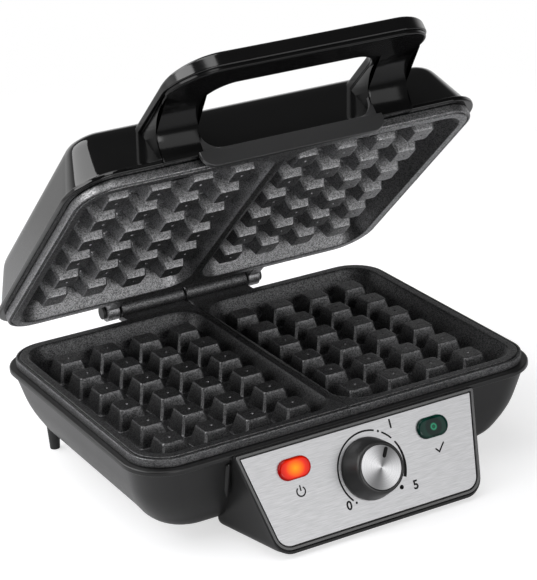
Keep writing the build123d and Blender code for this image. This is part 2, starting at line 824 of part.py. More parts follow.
# Lid shell, with the lid shut
boss_reach = lid_wall(lid_screw_level) - body_depth / 2
with BuildPart() as lid_outside:
    with BuildSketch(level(lid_seat)):
        RectangleRounded(flange_width, flange_depth, flange_corner)
    extrude(amount=flange_thickness)
    add(lid_solid(0))
handle_seat = lid_wall(handle_screw_level + boss_radius) - shell_wall
handle_screw_places = [(side * handle_screw_span / 2, handle_screw_level) for side in (-1, 1)]
with BuildPart() as lid_shell:
    add(lid_outside.part)
    add(lid_solid(shell_wall), mode=Mode.SUBTRACT)
    with BuildSketch(level(lid_seat)):
        add(plate_opening())
    extrude(amount=2 * flange_thickness, mode=Mode.SUBTRACT)
    with BuildSketch(front_plane(body_depth / 2)):
        with Locations(*lid_screw_places):
            Circle(boss_radius)
    extrude(amount=-boss_reach)
    with BuildSketch(front_plane(body_depth / 2)):
        with Locations(*lid_screw_places):
            Circle(screw_radius + seat_clearance)
    extrude(amount=-2 * boss_reach, mode=Mode.SUBTRACT)
    with BuildSketch(front_plane(body_depth / 2 + lid_boss_web)):
        with Locations(*lid_screw_places):
            Circle(screw_head_radius + seat_clearance)
    extrude(amount=-2 * boss_reach, mode=Mode.SUBTRACT)
    with BuildSketch(front_plane(-handle_seat)):
        with Locations(*handle_screw_places):
            Circle(boss_radius)
    extrude(amount=shell_wall)
    with BuildSketch(front_plane(-handle_seat)):
        with Locations(*handle_screw_places):
            Circle(screw_radius + seat_clearance)
    extrude(amount=4 * shell_wall, mode=Mode.SUBTRACT)

# Screws that hold the upper plate, driven from behind
with BuildPart() as upper_plate_screws:
    add(
        pan_screws(
            front_plane(body_depth / 2 + lid_boss_web),
            lid_screw_places,
            screw_radius,
            screw_head_radius,
            screw_head_height,
            lid_boss_web + screw_bite - running_clearance,
        )
    )

# Upper heater and its reflector, behind the upper plate
with BuildPart() as upper_heater:
    add(heater_loop(plate_gap + plate_body + heater_radius))
with BuildPart() as upper_reflector:
    add(reflector_pan(plate_gap + plate_body, 1))

# Handle: upper and lower halves, with the lid shut
handle_front = flange_front - handle_reach
grip_back_y = handle_front + grip_depth
handle_root = -lid_wall(lid_top) + lid_round
seam_front = handle_top - grip_front
seam_leg = handle_top - grip_back
leg_front = flange_front - handle_inset
under_front = seam_front - handle_skin
under_leg = seam_leg - handle_skin


def handle_plan(inset):
    """Loop seen from above: round front corners, and the opening behind the grip."""
    length = handle_root - handle_front - inset
    with BuildSketch(mode=Mode.PRIVATE) as plan:
        with Locations((0, handle_root - length / 2)):
            Rectangle(handle_width - 2 * inset, length)
        fillet(plan.vertices().sort_by(Axis.Y)[:2], handle_corner - inset)
        with BuildSketch(mode=Mode.PRIVATE) as gap:
            with Locations((0, handle_root)):
                Rectangle(handle_opening, 2 * (handle_root - grip_back_y))
            fillet(gap.vertices().sort_by(Axis.Y)[:2], opening_corner)
        add(gap.sketch, mode=Mode.SUBTRACT)
    return plan.sketch


with BuildPart() as handle_upper:
    with BuildSketch(side_plane(-handle_width / 2)):
        with BuildLine():
            Polyline(
                (handle_root, handle_top),
                (handle_front, handle_top),
                (handle_front, seam_front),
                (grip_back_y, seam_leg),
                (handle_root, seam_leg),
                close=True,
            )
        make_face()
    extrude(amount=handle_width)
    with BuildSketch(level(0)):
        add(handle_plan(0))
    extrude(amount=2 * handle_top, mode=Mode.INTERSECT)
    add(lid_outside.part, mode=Mode.SUBTRACT)

with BuildPart() as handle_lower:
    with BuildSketch(side_plane(-handle_width / 2)):
        with BuildLine():
            Polyline((leg_front - gusset_radius, under_leg), (grip_back_y, under_leg))
            Polyline(
                (grip_back_y, under_leg),
                (handle_front, under_front),
                (handle_front, seam_front),
                (grip_back_y, seam_leg),
                (handle_root, seam_leg),
                (handle_root, lid_seat),
                (leg_front, lid_seat),
                (leg_front, under_leg - gusset_radius),
            )
            RadiusArc(
                (leg_front, under_leg - gusset_radius),
                (leg_front - gusset_radius, under_leg),
                -gusset_radius,
            )
        make_face()
    extrude(amount=handle_width)
    with BuildSketch(level(0)):
        add(handle_plan(handle_inset))
    extrude(amount=2 * handle_top, mode=Mode.INTERSECT)
    add(lid_outside.part, mode=Mode.SUBTRACT)
    with BuildSketch(front_plane(flange_front)) as tab:
        with Locations((0, (tab_top - tab_drop) / 2)):
            Rectangle(tab_width, tab_top + tab_drop)
        fillet(tab.vertices().sort_by(Axis.Y)[:2], tab_corner)
    extrude(amount=tab_thickness)
    with BuildSketch(front_plane(-handle_seat)):
        with Locations(*handle_screw_places):
            Circle(screw_radius + running_clearance)
    extrude(amount=handle_screw_length, mode=Mode.SUBTRACT)

# Screws that hold the handle, driven from inside the lid
with BuildPart() as handle_screws:
    add(
        pan_screws(
            front_plane(-handle_seat),
            handle_screw_places,
            screw_radius,
            screw_head_radius,
            screw_head_height,
            handle_screw_length - running_clearance,
        )
    )

# Swing every piece of the lid open about the hinge
lid_pieces = {
    "lid_shell": lid_shell,
    "upper_plate": upper_plate,
    "upper_plate_screws": upper_plate_screws,
    "upper_heater": upper_heater,
    "upper_reflector": upper_reflector,
    "handle_upper": handle_upper,
    "handle_lower": handle_lower,
    "handle_screws": handle_screws,
}
for name, shut in lid_pieces.items():
    with BuildPart() as opened:
        add(shut.part.rotate(hinge_axis, lid_rest_angle))
    opened.part.label = name
    export_step(opened.part, f"parts/{name}.step")
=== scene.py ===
# %% [markdown]
# # A waffle maker, dressed for its photograph
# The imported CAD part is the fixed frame: every piece below sits where a CAD node sits and rides on
# that node's body. The lid is drawn shut, where its sizes are easy to read, and is then swung open
# about the hinge line that the record gives. This keeps the drawn lid and the joint in agreement.

# %% Load the frame
import json
import math

import bmesh
import bpy
import numpy as np
from mathutils import Matrix, Vector


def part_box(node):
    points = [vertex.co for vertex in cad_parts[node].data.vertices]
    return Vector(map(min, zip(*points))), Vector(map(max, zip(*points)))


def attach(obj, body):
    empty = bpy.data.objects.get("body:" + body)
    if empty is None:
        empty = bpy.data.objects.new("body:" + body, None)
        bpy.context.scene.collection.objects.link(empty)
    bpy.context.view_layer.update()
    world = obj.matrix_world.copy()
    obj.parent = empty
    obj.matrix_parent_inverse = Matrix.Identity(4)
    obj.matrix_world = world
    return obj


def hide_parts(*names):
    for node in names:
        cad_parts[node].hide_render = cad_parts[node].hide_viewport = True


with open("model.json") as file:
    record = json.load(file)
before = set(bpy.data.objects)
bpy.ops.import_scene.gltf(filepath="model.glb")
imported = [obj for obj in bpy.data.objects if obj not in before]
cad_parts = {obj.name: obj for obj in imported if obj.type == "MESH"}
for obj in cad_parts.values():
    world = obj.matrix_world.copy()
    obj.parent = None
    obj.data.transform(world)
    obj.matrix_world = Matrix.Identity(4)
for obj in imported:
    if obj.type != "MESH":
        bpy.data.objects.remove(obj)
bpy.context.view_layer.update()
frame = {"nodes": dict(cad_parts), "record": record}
hinge, dial = frame["record"]["behaviour"]["joints"]
hinge_point = np.array(hinge["pos_m"])
lid_angle = math.radians(-hinge["range_deg"][0])
plate_shift = 0.0086  # plates' middle behind the origin
part_height = 0.062  # parting plane above the table
plate_low, plate_high = (np.array(corner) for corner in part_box("lower_plate"))
plate_half_width = (plate_high[0] - plate_low[0]) / 2
plate_half_depth = plate_shift - plate_low[1]
print("plate half sizes", plate_half_width, plate_half_depth, "lid angle", math.degrees(lid_angle))


# %% Shut and open
def stand(points):
    """Points of the shut design, from the plates' middle on the parting plane, in the part's frame."""
    return np.asarray(points) + (0, plate_shift, part_height)


def swing(points):
    """Stood points turned about the hinge line by the lid's angle: y and z from the line mix by its
    cosine and sine."""
    cosine, sine = math.cos(lid_angle), math.sin(lid_angle)
    turn = np.array(((1, 0, 0), (0, cosine, -sine), (0, sine, cosine)))
    return (stand(points) - hinge_point) @ turn + hinge_point


def new_object(name, data):
    """An object for some data, linked into the scene."""
    made = bpy.data.objects.new(name, data)
    bpy.context.scene.collection.objects.link(made)
    return made


print("plates' middle, shut and open", stand((0, 0, 0)), swing((0, 0, 0)))

# %% [markdown]
# ## The camera
# The photograph was taken with a long lens from the left of the front, a little above the plates.
# A camera could be aimed with a tracking constraint, but its place and its three directions were
# worked out from the straight edges of the plates, so they are written straight into its matrix.

# %% Camera
camera_place = Vector((-0.54959, -0.98941, 0.56029))
camera_right = Vector((0.86545, -0.49919, -0.04248))
camera_up = Vector((0.22104, 0.30438, 0.92655))
camera_data = bpy.data.cameras.new("photo_camera")
camera_data.sensor_width = 36.0
camera_data.lens = 131.0
camera_data.clip_end = 50.0
camera = new_object("photo_camera", camera_data)
axes = Matrix((camera_right, camera_up, camera_right.cross(camera_up))).transposed()
camera.matrix_world = Matrix.Translation(camera_place) @ axes.to_4x4()
bpy.context.scene.camera = camera
bpy.context.scene.view_settings.view_transform = "Standard"
print("camera", tuple(camera.location))

# %% [markdown]
# ## Mouldings as rings
# Nearly every piece here is a moulding whose level cuts are outlines with round corners. Modelling
# tools could extrude and bevel them, but two formulas say the same thing: one gives an outline its
# round corners, and one rounds the edge between two levels. Both work on whole arrays.

# %% Outlines with round corners
side_shares = (0.04, 0.5, 0.96)


def rectangle(left, right, low, high):
    """Corners (..., 4, 2) of rectangles, in turn from the one at the left and low."""
    left, right, low, high = np.broadcast_arrays(left, right, low, high)
    corners = np.stack((left, low, right, low, right, high, left, high), axis=-1)
    return corners.reshape(*left.shape, 4, 2)


def round_corners(corners, radius, arc=8, sides=side_shares):
    """Closed outlines (..., corners, 2) with each corner replaced by a circular arc.

    An arc starts and ends the radius times the tangent of half the turn away from its corner. It is
    a rational quadratic curve, in which the corner weighs the cosine of half the turn. Each straight
    side gets points at the given shares of its length, so that it stays flat when shaded smooth."""
    corners = np.asarray(corners, float)
    radius = np.broadcast_to(np.asarray(radius, float), corners.shape[:-1])
    before = np.roll(corners, 1, axis=-2) - corners
    after = np.roll(corners, -1, axis=-2) - corners
    before /= np.linalg.norm(before, axis=-1, keepdims=True)
    after /= np.linalg.norm(after, axis=-1, keepdims=True)
    half_turn = (np.pi - np.arccos(np.clip((before * after).sum(-1), -1, 1))) / 2
    trim = (radius * np.tan(half_turn))[..., None]
    start, end = corners + before * trim, corners + after * trim
    t = np.linspace(0, 1, arc)
    first, last = (1 - t) ** 2, t**2
    middle = 2 * t * (1 - t) * np.cos(half_turn)[..., None]
    bend = (
        first[:, None] * start[..., None, :]
        + middle[..., None] * corners[..., None, :]
        + last[:, None] * end[..., None, :]
    ) / (first + middle + last)[..., None]
    share = np.asarray(sides, float)[:, None]
    run = end[..., None, :] + (np.roll(start, -1, axis=-2) - end)[..., None, :] * share
    ring = np.concatenate((bend, run), axis=-2)
    return ring.reshape(*corners.shape[:-2], -1, 2)


def round_line(corners, radius, arc):
    """The same for an open line: its ends have no radius, and the run that would close it is dropped."""
    ring = round_corners(corners, radius, arc)
    return ring[..., arc - 1 : ring.shape[-2] - len(side_shares) - arc + 1, :]


print("a rounded square has", len(round_corners(rectangle(-1, 1, -1, 1), 0.2)), "points")


# %% Levels with round edges
def soften(levels, trim, steps, sides=(0.12, 0.88)):
    """Rows of sizes with each level's edge rounded off: near a level the row is a quadratic curve that
    starts a trim before it and ends a trim after it, as measured by the second and the last column."""
    levels = np.asarray(levels, float)
    trim = np.asarray(trim, float)[:, None]
    step = np.diff(levels, axis=0)
    length = np.hypot(step[:, 1], step[:, -1])[:, None]
    way = step / np.maximum(length, 1e-9)
    start, end = levels.copy(), levels.copy()
    start[1:] -= way * trim[1:]
    end[:-1] += way * trim[:-1]
    t = np.linspace(0, 1, steps)[:, None]
    bend = (1 - t) ** 2 * start[:, None] + 2 * t * (1 - t) * levels[:, None] + t**2 * end[:, None]
    run = end[:-1, None] + (start[1:, None] - end[:-1, None]) * np.asarray(sides)[:, None]
    body = np.concatenate((bend[:-1], run), axis=1).reshape(-1, levels.shape[1])
    return np.concatenate((body[steps - 1 :], levels[-1:]))


def lift(rings, height):
    """Flat rings (..., 2) given a third coordinate: one height for all, or one for each row."""
    height = np.asarray(height)
    height = height.reshape(height.shape + (1,) * (rings.ndim - height.ndim))
    return np.concatenate((rings, np.broadcast_to(height, rings.shape[:-1] + (1,))), axis=-1)


def tray(levels, trim, arc=9, steps=5):
    """Rings (rows, points, 3) of a tray-like moulding. A level is left, right, front, back, the radius
    of its left and of its right corners, and its height."""
    left, right, front, back, round_left, round_right, height = soften(levels, trim, steps).T
    radius = np.stack((round_left, round_right, round_right, round_left), axis=1)
    return lift(round_corners(rectangle(left, right, front, back), radius, arc), height)


def lathe(radius, along, count=64):
    """Rings of a turned shape: each row's radius times the cosine and sine of an angle, at its place
    along the axis."""
    angle = np.linspace(0, 2 * np.pi, count, endpoint=False)
    radius = np.asarray(radius, float)[:, None]
    return lift(np.stack((radius * np.cos(angle), radius * np.sin(angle)), axis=-1), along)


print("a turned ring has the shape", lathe((1, 1), (0, 1)).shape)


# %% Skins
def skin(points, closed=True, lids=True):
    """Vertices and faces of grids (..., rows, columns, 3): a face joins a point to its neighbours along
    its row and in the next row. Closed rows wrap round, and lids close the first and last rows with a
    fan about their middle."""
    points = np.asarray(points, float)
    rows, columns = points.shape[-3:-1]
    copies = points.reshape(-1, rows, columns, 3)
    index = np.arange(copies.shape[0] * rows * columns).reshape(-1, rows, columns)
    ahead = np.roll(index, -1, axis=2)
    keep = columns if closed else columns - 1
    quads = np.stack((index[:, :-1], ahead[:, :-1], ahead[:, 1:], index[:, 1:]), axis=-1)[:, :, :keep]
    vertices = copies.reshape(-1, 3)
    faces = [quads.reshape(-1, 4)]
    if lids:
        for row, flip in ((0, 1), (-1, -1)):
            middle = len(vertices) + np.arange(len(copies))
            vertices = np.concatenate((vertices, copies[:, row].mean(axis=1)))
            edge = np.stack((ahead[:, row], index[:, row]), axis=-1)[..., ::flip]
            faces.append(lift(edge, middle).reshape(-1, 3))
    return vertices, faces


print("a turned ring's skin has", len(skin(lathe((1, 1), (0, 1)))[0]), "points")

# %% Pieces
crease_angle, merge_distance = math.radians(40), 1e-6
both_sides = ((1, 1, 1), (-1, 1, 1))  # a shape and its mirror image


def piece(name, skins, finish, body, nodes=()):
    """One mesh object from a list of skins, shaded smooth up to a crease angle and given to its body."""
    faces, count = [], 0
    for skin_vertices, blocks in skins:
        for block in blocks:
            faces += (block + count).tolist()
        count += len(skin_vertices)
    mesh = bpy.data.meshes.new(name)
    mesh.from_pydata(np.concatenate([skin_vertices for skin_vertices, _ in skins]).tolist(), [], faces)
    work = bmesh.new()
    work.from_mesh(mesh)
    bmesh.ops.remove_doubles(work, verts=work.verts, dist=merge_distance)
    bmesh.ops.recalc_face_normals(work, faces=work.faces)
    work.to_mesh(mesh)
    work.free()
    mesh.shade_smooth()
    mesh.set_sharp_from_angle(angle=crease_angle)
    mesh.materials.append(finish)
    made = new_object(name, mesh)
    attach(made, body)
    if nodes:
        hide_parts(*nodes)
    print(name, len(mesh.polygons), "faces")


print("edges stay sharp from", math.degrees(crease_angle), "degrees")

# %% [markdown]
# ## Finishes
# A real finish is never one flat colour. Moulded plastic has a fine grain and is polished unevenly,
# the plates' coating is full of bright flakes, and the sheet steel is brushed along one direction.
# Images could hold all this, but noise that is worked out from the object's own coordinates needs no
# unwrapping. Each effect is a node group, made once, and every material places it with its own values.


# %% Nodes
def wire(node, wires):
    """Sets inputs of a node to values, or joins them to sockets."""
    for name, value in wires.items():
        if isinstance(value, bpy.types.NodeSocket):
            node.id_data.links.new(value, node.inputs[name])
        else:
            node.inputs[name].default_value = value


def place(tree, kind, wires=None, **settings):
    """A new node with its settings and its inputs."""
    made = tree.nodes.new(kind)
    for name, value in settings.items():
        setattr(made, name, value)
    wire(made, wires or {})
    return made


def reckon(operation, *values):
    """The result of a Math node on values, of which the first is a socket. The node goes into that
    socket's tree, as it does in the functions that follow."""
    tree, wires = values[0].id_data, dict(enumerate(values))
    return place(tree, "ShaderNodeMath", wires, operation=operation).outputs["Value"]


def scaled(vector, factors):
    """A vector times factors, axis by axis."""
    wires = {0: vector, 1: factors}
    return place(vector.id_data, "ShaderNodeVectorMath", wires, operation="MULTIPLY").outputs["Vector"]


def length(vector):
    """How long a vector is: the root of the sum of its squares."""
    return place(vector.id_data, "ShaderNodeVectorMath", {0: vector}, operation="LENGTH").outputs["Value"]


def noise(vector, scale, detail=2.0, roughness=0.5):
    """Cloudy noise between 0 and 1."""
    wires = {"Vector": vector, "Scale": scale, "Detail": detail, "Roughness": roughness}
    return place(vector.id_data, "ShaderNodeTexNoise", wires).outputs["Fac"]


def ramp(value, low, high, start=0.0, end=1.0, smooth=False):
    """A number that goes from low to high, evenly or smoothly, while a value goes from start to end."""
    wires = {"Value": value, "From Min": start, "From Max": end, "To Min": low, "To Max": high}
    kind = "SMOOTHSTEP" if smooth else "LINEAR"
    return place(value.id_data, "ShaderNodeMapRange", wires, interpolation_type=kind).outputs["Result"]


def tint(share, dark, light):
    """A colour between two by a share. Each of the two is a colour or a socket."""
    dark, light = (end if isinstance(end, bpy.types.NodeSocket) else (*end, 1) for end in (dark, light))
    wires = {"Factor": share, "A": dark, "B": light}
    return place(share.id_data, "ShaderNodeMix", wires, data_type="RGBA").outputs["Result"]


print("kinds of node", [kind.__name__ for kind in (reckon, scaled, length, noise, ramp, tint)])


# %% Node groups
def open_group(name, **inputs):
    """A new shader node group with named inputs, and their sockets inside it."""
    tree = bpy.data.node_groups.new(name, "ShaderNodeTree")
    for socket, kind in inputs.items():
        tree.interface.new_socket(socket, in_out="INPUT", socket_type="NodeSocket" + kind)
    return tree, tree.nodes.new("NodeGroupInput").outputs


def close_group(tree, **results):
    """The group with a named output for each result."""
    for socket in results:
        tree.interface.new_socket(socket, in_out="OUTPUT", socket_type="NodeSocketFloat")
    place(tree, "NodeGroupOutput", results)
    return tree


def grain_group():
    """Moulded grain: fine noise for a height, and slow noise for how far the surface is rubbed."""
    tree, given = open_group("moulded_grain", Vector="Vector", Scale="Float")
    fine = noise(given["Vector"], given["Scale"], detail=3.0)
    slow = noise(given["Vector"], scale=22.0, detail=4.0, roughness=0.6)
    return close_group(tree, Height=fine, Rub=slow)


def flake_group():
    """Coating flakes: each cell of a fine cell pattern has a random brightness and a random height."""
    tree, given = open_group("coating_flakes", Vector="Vector", Scale="Float")
    cells = place(tree, "ShaderNodeTexVoronoi", {"Vector": given["Vector"], "Scale": given["Scale"]})
    draw = place(tree, "ShaderNodeSeparateColor", {"Color": cells.outputs["Color"]}).outputs
    return close_group(tree, Flake=draw["Red"], Height=draw["Green"])


def brush_group():
    """Brushed streaks: noise on coordinates that are squeezed along the brushing and stretched across."""
    tree, given = open_group("brushed_streaks", Vector="Vector", Squeeze="Vector")
    squeezed = scaled(given["Vector"], given["Squeeze"])
    return close_group(tree, Streak=noise(squeezed, scale=1.0, detail=5.0))


moulded_grain, coating_flakes, brushed_streaks = grain_group(), flake_group(), brush_group()
print("node groups", [group.name for group in bpy.data.node_groups])


# %% Kinds of finish
grain_depth, streak_relief = 0.0002, (0.08, 0.0001)
flake_scale, flake_gloss, flake_relief = 1900.0, (0.50, 0.42), (0.05, 0.0002)


def new_finish(name, **sockets):
    """A material with a Principled shader whose even values are set on its sockets."""
    material = bpy.data.materials.new(name)
    material.use_nodes = True
    shader = material.node_tree.nodes["Principled BSDF"]
    wire(shader, {socket.replace("_", " "): value for socket, value in sockets.items()})
    return material, material.node_tree, shader


def object_place(tree):
    """The point being shaded, in the object's own coordinates."""
    return place(tree, "ShaderNodeTexCoord").outputs["Object"]


def effect(tree, group, **values):
    """The outputs of a node group, placed in a material on the object's coordinates."""
    wires = {"Vector": object_place(tree), **values}
    return place(tree, "ShaderNodeGroup", wires, node_tree=group).outputs


def dress(shader, colours, shade, gloss, rub, height, relief):
    """Joins a finish to its shader: a colour between two by the shade, a roughness between two by the
    rub, and a bump from the height, whose relief is a strength and a depth in metres."""
    colour, roughness = tint(shade, *colours), ramp(rub, *gloss)
    wires = {"Height": height, "Strength": relief[0], "Distance": relief[1]}
    bump = place(shader.id_data, "ShaderNodeBump", wires)
    wire(shader, {"Base Color": colour, "Roughness": roughness, "Normal": bump.outputs["Normal"]})


def plastic(name, dark, light, gloss, grain, strength, mirror=0.5):
    """Moulded plastic: colour and gloss drift with the rubbing, and the grain is embossed."""
    material, tree, shader = new_finish(name, Specular_IOR_Level=mirror)
    made = effect(tree, moulded_grain, Scale=grain)
    rub, relief = made["Rub"], (strength, grain_depth)
    dress(shader, (dark, light), rub, gloss, rub, made["Height"], relief)
    return material


def coating(name, dark, light):
    """Non-stick coating: full of metal flakes, of which the brighter ones are also the smoother ones."""
    material, tree, shader = new_finish(name, Metallic=1.0)
    made = effect(tree, coating_flakes, Scale=flake_scale)
    flake = made["Flake"]
    dress(shader, (dark, light), flake, flake_gloss, flake, made["Height"], flake_relief)
    return material


def metal(name, dark, light, gloss, squeeze):
    """Bare metal with streaks along one direction."""
    material, tree, shader = new_finish(name, Metallic=1.0)
    streak = effect(tree, brushed_streaks, Squeeze=squeeze)["Streak"]
    dress(shader, (dark, light), streak, gloss, streak, streak, streak_relief)
    return material


def grey(value):
    """A grey with a trace of blue, as black plastic and bare metal have."""
    return (value, value, value * 1.02)


print("kinds of finish", [kind.__name__ for kind in (plastic, coating, metal)])

# %% [markdown]
# Each finish takes its dark and light colour, the roughness where it is rubbed least and most, and the
# scale of its pattern. Both plates have the same coating; the lower one is a darker copy, as painted shade.

# %% Materials
lid_gloss = plastic("lid_gloss", grey(0.004), grey(0.006), (0.05, 0.09), 60.0, 0.01)
handle_gloss = plastic("handle_gloss", grey(0.005), grey(0.008), (0.10, 0.16), 90.0, 0.02, 0.6)
leg_gloss = plastic("leg_gloss", grey(0.005), grey(0.008), (0.12, 0.18), 90.0, 0.02, 0.25)
tub_satin = plastic("tub_satin", grey(0.009), grey(0.013), (0.26, 0.34), 2200.0, 0.08, 0.4)
bezel_satin = plastic("bezel_satin", grey(0.034), grey(0.044), (0.30, 0.38), 2200.0, 0.08, 0.9)
knob_satin = plastic("knob_satin", grey(0.012), grey(0.016), (0.30, 0.38), 1800.0, 0.08)
matt_black = plastic("matt_black", grey(0.014), grey(0.022), (0.5, 0.6), 1500.0, 0.15)
print_black = plastic("print_black", grey(0.004), grey(0.007), (0.45, 0.55), 1500.0, 0.05, 0.1)
block_cream = plastic("block_cream", (0.62, 0.60, 0.53), (0.70, 0.68, 0.61), (0.4, 0.5), 900.0, 0.1)
stat_brown = plastic("stat_brown", (0.045, 0.03, 0.025), (0.06, 0.04, 0.035), (0.4, 0.5), 900.0, 0.1)
plate_coating = coating("plate_coating", grey(0.11), grey(0.45))
# The lower plate's coating: the same flakes, made darker as painted shade.
shaded_coating = coating("shaded_coating", grey(0.05), grey(0.20))
fascia_steel = metal("fascia_steel", grey(0.28), grey(0.64), (0.30, 0.44), (130.0, 3000.0, 3000.0))
plain_steel = metal("plain_steel", grey(0.42), grey(0.58), (0.25, 0.38), (300.0, 300.0, 1500.0))
bright_sheet = metal("bright_sheet", grey(0.66), grey(0.78), (0.2, 0.3), (40.0, 900.0, 900.0))
dark_sheath = metal("dark_sheath", (0.12, 0.11, 0.10), (0.22, 0.20, 0.18), (0.4, 0.55), (900.0, 900.0, 900.0))
print("materials", len(bpy.data.materials))

# %% [markdown]
# ## The lid
# The lid is a gloss black moulding: a flange that lies over the upper plate's rim, a wall that leans
# in, and a crown. A subdivided cube would give soft corners that are hard to size, so the lid is a
# stack of outlines, from the crown's inside round the flange to its outside, with every edge rounded.

# %% Lid shell
flange_half_width, flange_half_depth = 0.1312, 0.0976
flange_thickness, flange_lip, flange_corner = 0.0032, 0.0025, 0.026
wall_lean = math.radians(22)
wall_slope = math.tan(wall_lean)
mouth_inset, mouth_corner, inner_corner = 0.008, 0.020, 0.021
shell_wall, shell_wall_across = 0.0024, 0.0026
lid_seat, lid_top = 0.0059, 0.0413
wall_foot = lid_seat + flange_thickness
crown_inset = flange_lip + (lid_top - wall_foot) * wall_slope


def shell(levels, back=flange_half_depth):
    """Rings of a shell. A level is an inset of the flange's outline, the radius of its corners, its
    height and the trim of its edge."""
    inset, corner, height, trim = np.transpose(levels)
    half = flange_half_width - inset
    return tray(
        np.stack((-half, half, inset - flange_half_depth, back - inset, corner, corner, height), axis=-1),
        trim,
        arc=16,
        steps=9,
    )


lid_levels = (
    (0.085, 0.008, lid_top - shell_wall, 0),
    (crown_inset + shell_wall_across / 2, 0.010, lid_top - shell_wall, 0.004),
    (flange_lip + shell_wall_across, inner_corner, wall_foot, 0.0005),
    (mouth_inset, mouth_corner, wall_foot, 0.0003),
    (mouth_inset, mouth_corner, lid_seat, 0.0003),
    (0, flange_corner, lid_seat, 0.0012),
    (0, flange_corner, wall_foot, 0.0012),
    (flange_lip, flange_corner - flange_lip, wall_foot, 0.0013),
    (crown_inset, 0.013, lid_top, 0.0096),
    (0.050, 0.010, lid_top + 0.0008, 0.012),
    (0.085, 0.008, lid_top + 0.0010, 0),
)
piece("lid_cover", [skin(swing(shell(lid_levels)))], lid_gloss, "lid", ["lid_shell"])

# %% [markdown]
# Two screws go through the lid's back wall into the plate. Holes could be cut for them, but the wall
# would shade badly round the cuts, so each one is a black washer and a head that stand on the wall.

# %% Lid screws
screw_across, screw_up = 0.090, 0.0036
washer_radius, washer_out = (0.0046, 0.0046, 0.0044, 0.0030), (-0.0010, 0.0002, 0.0004, 0.0004)
head_radius = (0.0034, 0.0034, 0.0031, 0.0019, 0.0014, 0.0012)
head_out = (-0.0010, 0.0005, 0.0009, 0.0012, 0.0012, 0.0004)


def on_back_wall(rings, side):
    """Rings stood on the lid's back wall, shut: their axis goes back and up by the wall's lean."""
    cosine, sine = math.cos(wall_lean), math.sin(wall_lean)
    slope, out = np.array((0, -sine, cosine)), np.array((0, cosine, sine))
    back = flange_half_depth - flange_lip - screw_up * wall_slope
    foot = np.array((side * screw_across, back, wall_foot + screw_up))
    return foot + rings[..., :1] * (1, 0, 0) + rings[..., 1:2] * slope + rings[..., 2:] * out


washer, head = lathe(washer_radius, washer_out, 32), lathe(head_radius, head_out, 32)
washer_skins = [skin(swing(on_back_wall(washer, side)), lids=False) for side in (-1, 1)]
piece("lid_screw_washers", washer_skins, matt_black, "lid")
head_skins = [skin(swing(on_back_wall(head, side))) for side in (-1, 1)]
piece("lid_screw_heads", head_skins, plain_steel, "lid", ["upper_plate_screws"])

# %% [markdown]
# ## The handle
# The handle is a loop in two halves with a seam all round. A curve with a bevel could make it, but
# its section changes: the grip is deeper in front than the legs. So its section is carried along the
# loop between two rails, the outer edge and the edge of the opening.

# %% Handle loop
handle_half_width, handle_front, handle_top, handle_corner = 0.0805, -0.1581, 0.0360, 0.026
opening_half_width, grip_back, opening_corner, handle_root = 0.0540, -0.1311, 0.018, -0.0716
seam_front, seam_leg, under_skin, half_inset = 0.0275, 0.0314, 0.0024, 0.0012


def loop_rail(half_width, front, corner):
    """One edge of the loop, seen from above: down a leg, round the grip and back up the other leg."""
    x, y = (-half_width, -half_width, half_width, half_width), (handle_root, front, front, handle_root)
    return round_line(np.stack((x, y), axis=-1), (0, corner, corner, 0), arc=16)


def seam_height(y, skin_depth=0.0):
    """Height of the seam: level along the legs, and sloping down to the grip's front."""
    share = np.clip((grip_back - y) / (grip_back - handle_front), 0, 1)
    return seam_leg + (seam_front - seam_leg) * share - skin_depth


def loop_section(outer, inner, low, high, radius):
    """Rings round the loop's section: four corners between the inner and the outer rail, rounded."""
    across = outer - inner
    width = np.linalg.norm(across, axis=-1)
    zero, near, far = np.zeros(len(width)), inner[:, 1], outer[:, 1]
    corners = np.stack((zero, low(near), width, low(far), width, high(far), zero, high(near)), axis=-1)
    ring = round_corners(corners.reshape(-1, 4, 2), radius, arc=5)
    plan = inner[:, None] + (across / width[:, None])[:, None] * ring[..., :1]
    return np.concatenate((plan, ring[..., 1:]), axis=-1)


opening_rail = loop_rail(opening_half_width, grip_back, opening_corner)
print("the edge of the opening has", len(opening_rail), "points")

# %% Handle halves
upper_ring = loop_section(
    loop_rail(handle_half_width, handle_front, handle_corner),
    opening_rail,
    seam_height,
    lambda y: np.full_like(y, handle_top),
    (0.0004, 0.0007, 0.0016, 0.0012),
)
piece("handle_top_half", [skin(swing(upper_ring))], handle_gloss, "lid", ["handle_upper"])
lower_ring = loop_section(
    loop_rail(handle_half_width - half_inset, handle_front + half_inset, handle_corner - half_inset),
    opening_rail,
    lambda y: seam_height(y, under_skin),
    seam_height,
    (0.0011, 0.0009, 0.0003, 0.0003),
)
leg_front, leg_edge, gusset_radius = -0.0988, 0.0010, 0.022
leg_top, leg_middle = seam_leg - 0.0002, np.array((-0.095, 0.0225))
quarter = np.array((1.0, 0.29, 0.0))  # a quarter circle's distance from one side, over its radius


def leg_rings(inner_x, outer_x):
    """A leg: its side outline, with a hollow curve between the grip and the lid's flange, carried
    across its width, and drawn in a little at both ends to round the edges."""
    leg_under = seam_leg - under_skin
    y = (handle_root, leg_front, leg_front, grip_back, grip_back, handle_root)
    z = (lid_seat, lid_seat, leg_under, leg_under, leg_top, leg_top)
    ring = round_corners(np.stack((y, z), axis=-1), (0, 0.0006, gusset_radius, 0, 0, 0), arc=20)
    inset = leg_edge * np.append(quarter, quarter[::-1])
    x = np.repeat((inner_x, outer_x), len(quarter)) + leg_edge * np.append(quarter[::-1], -quarter)
    reach = np.linalg.norm(ring - leg_middle, axis=-1, keepdims=True)
    shrunk = ring - (ring - leg_middle) / reach * inset[:, None, None]
    return lift(shrunk, x)[..., (2, 0, 1)]


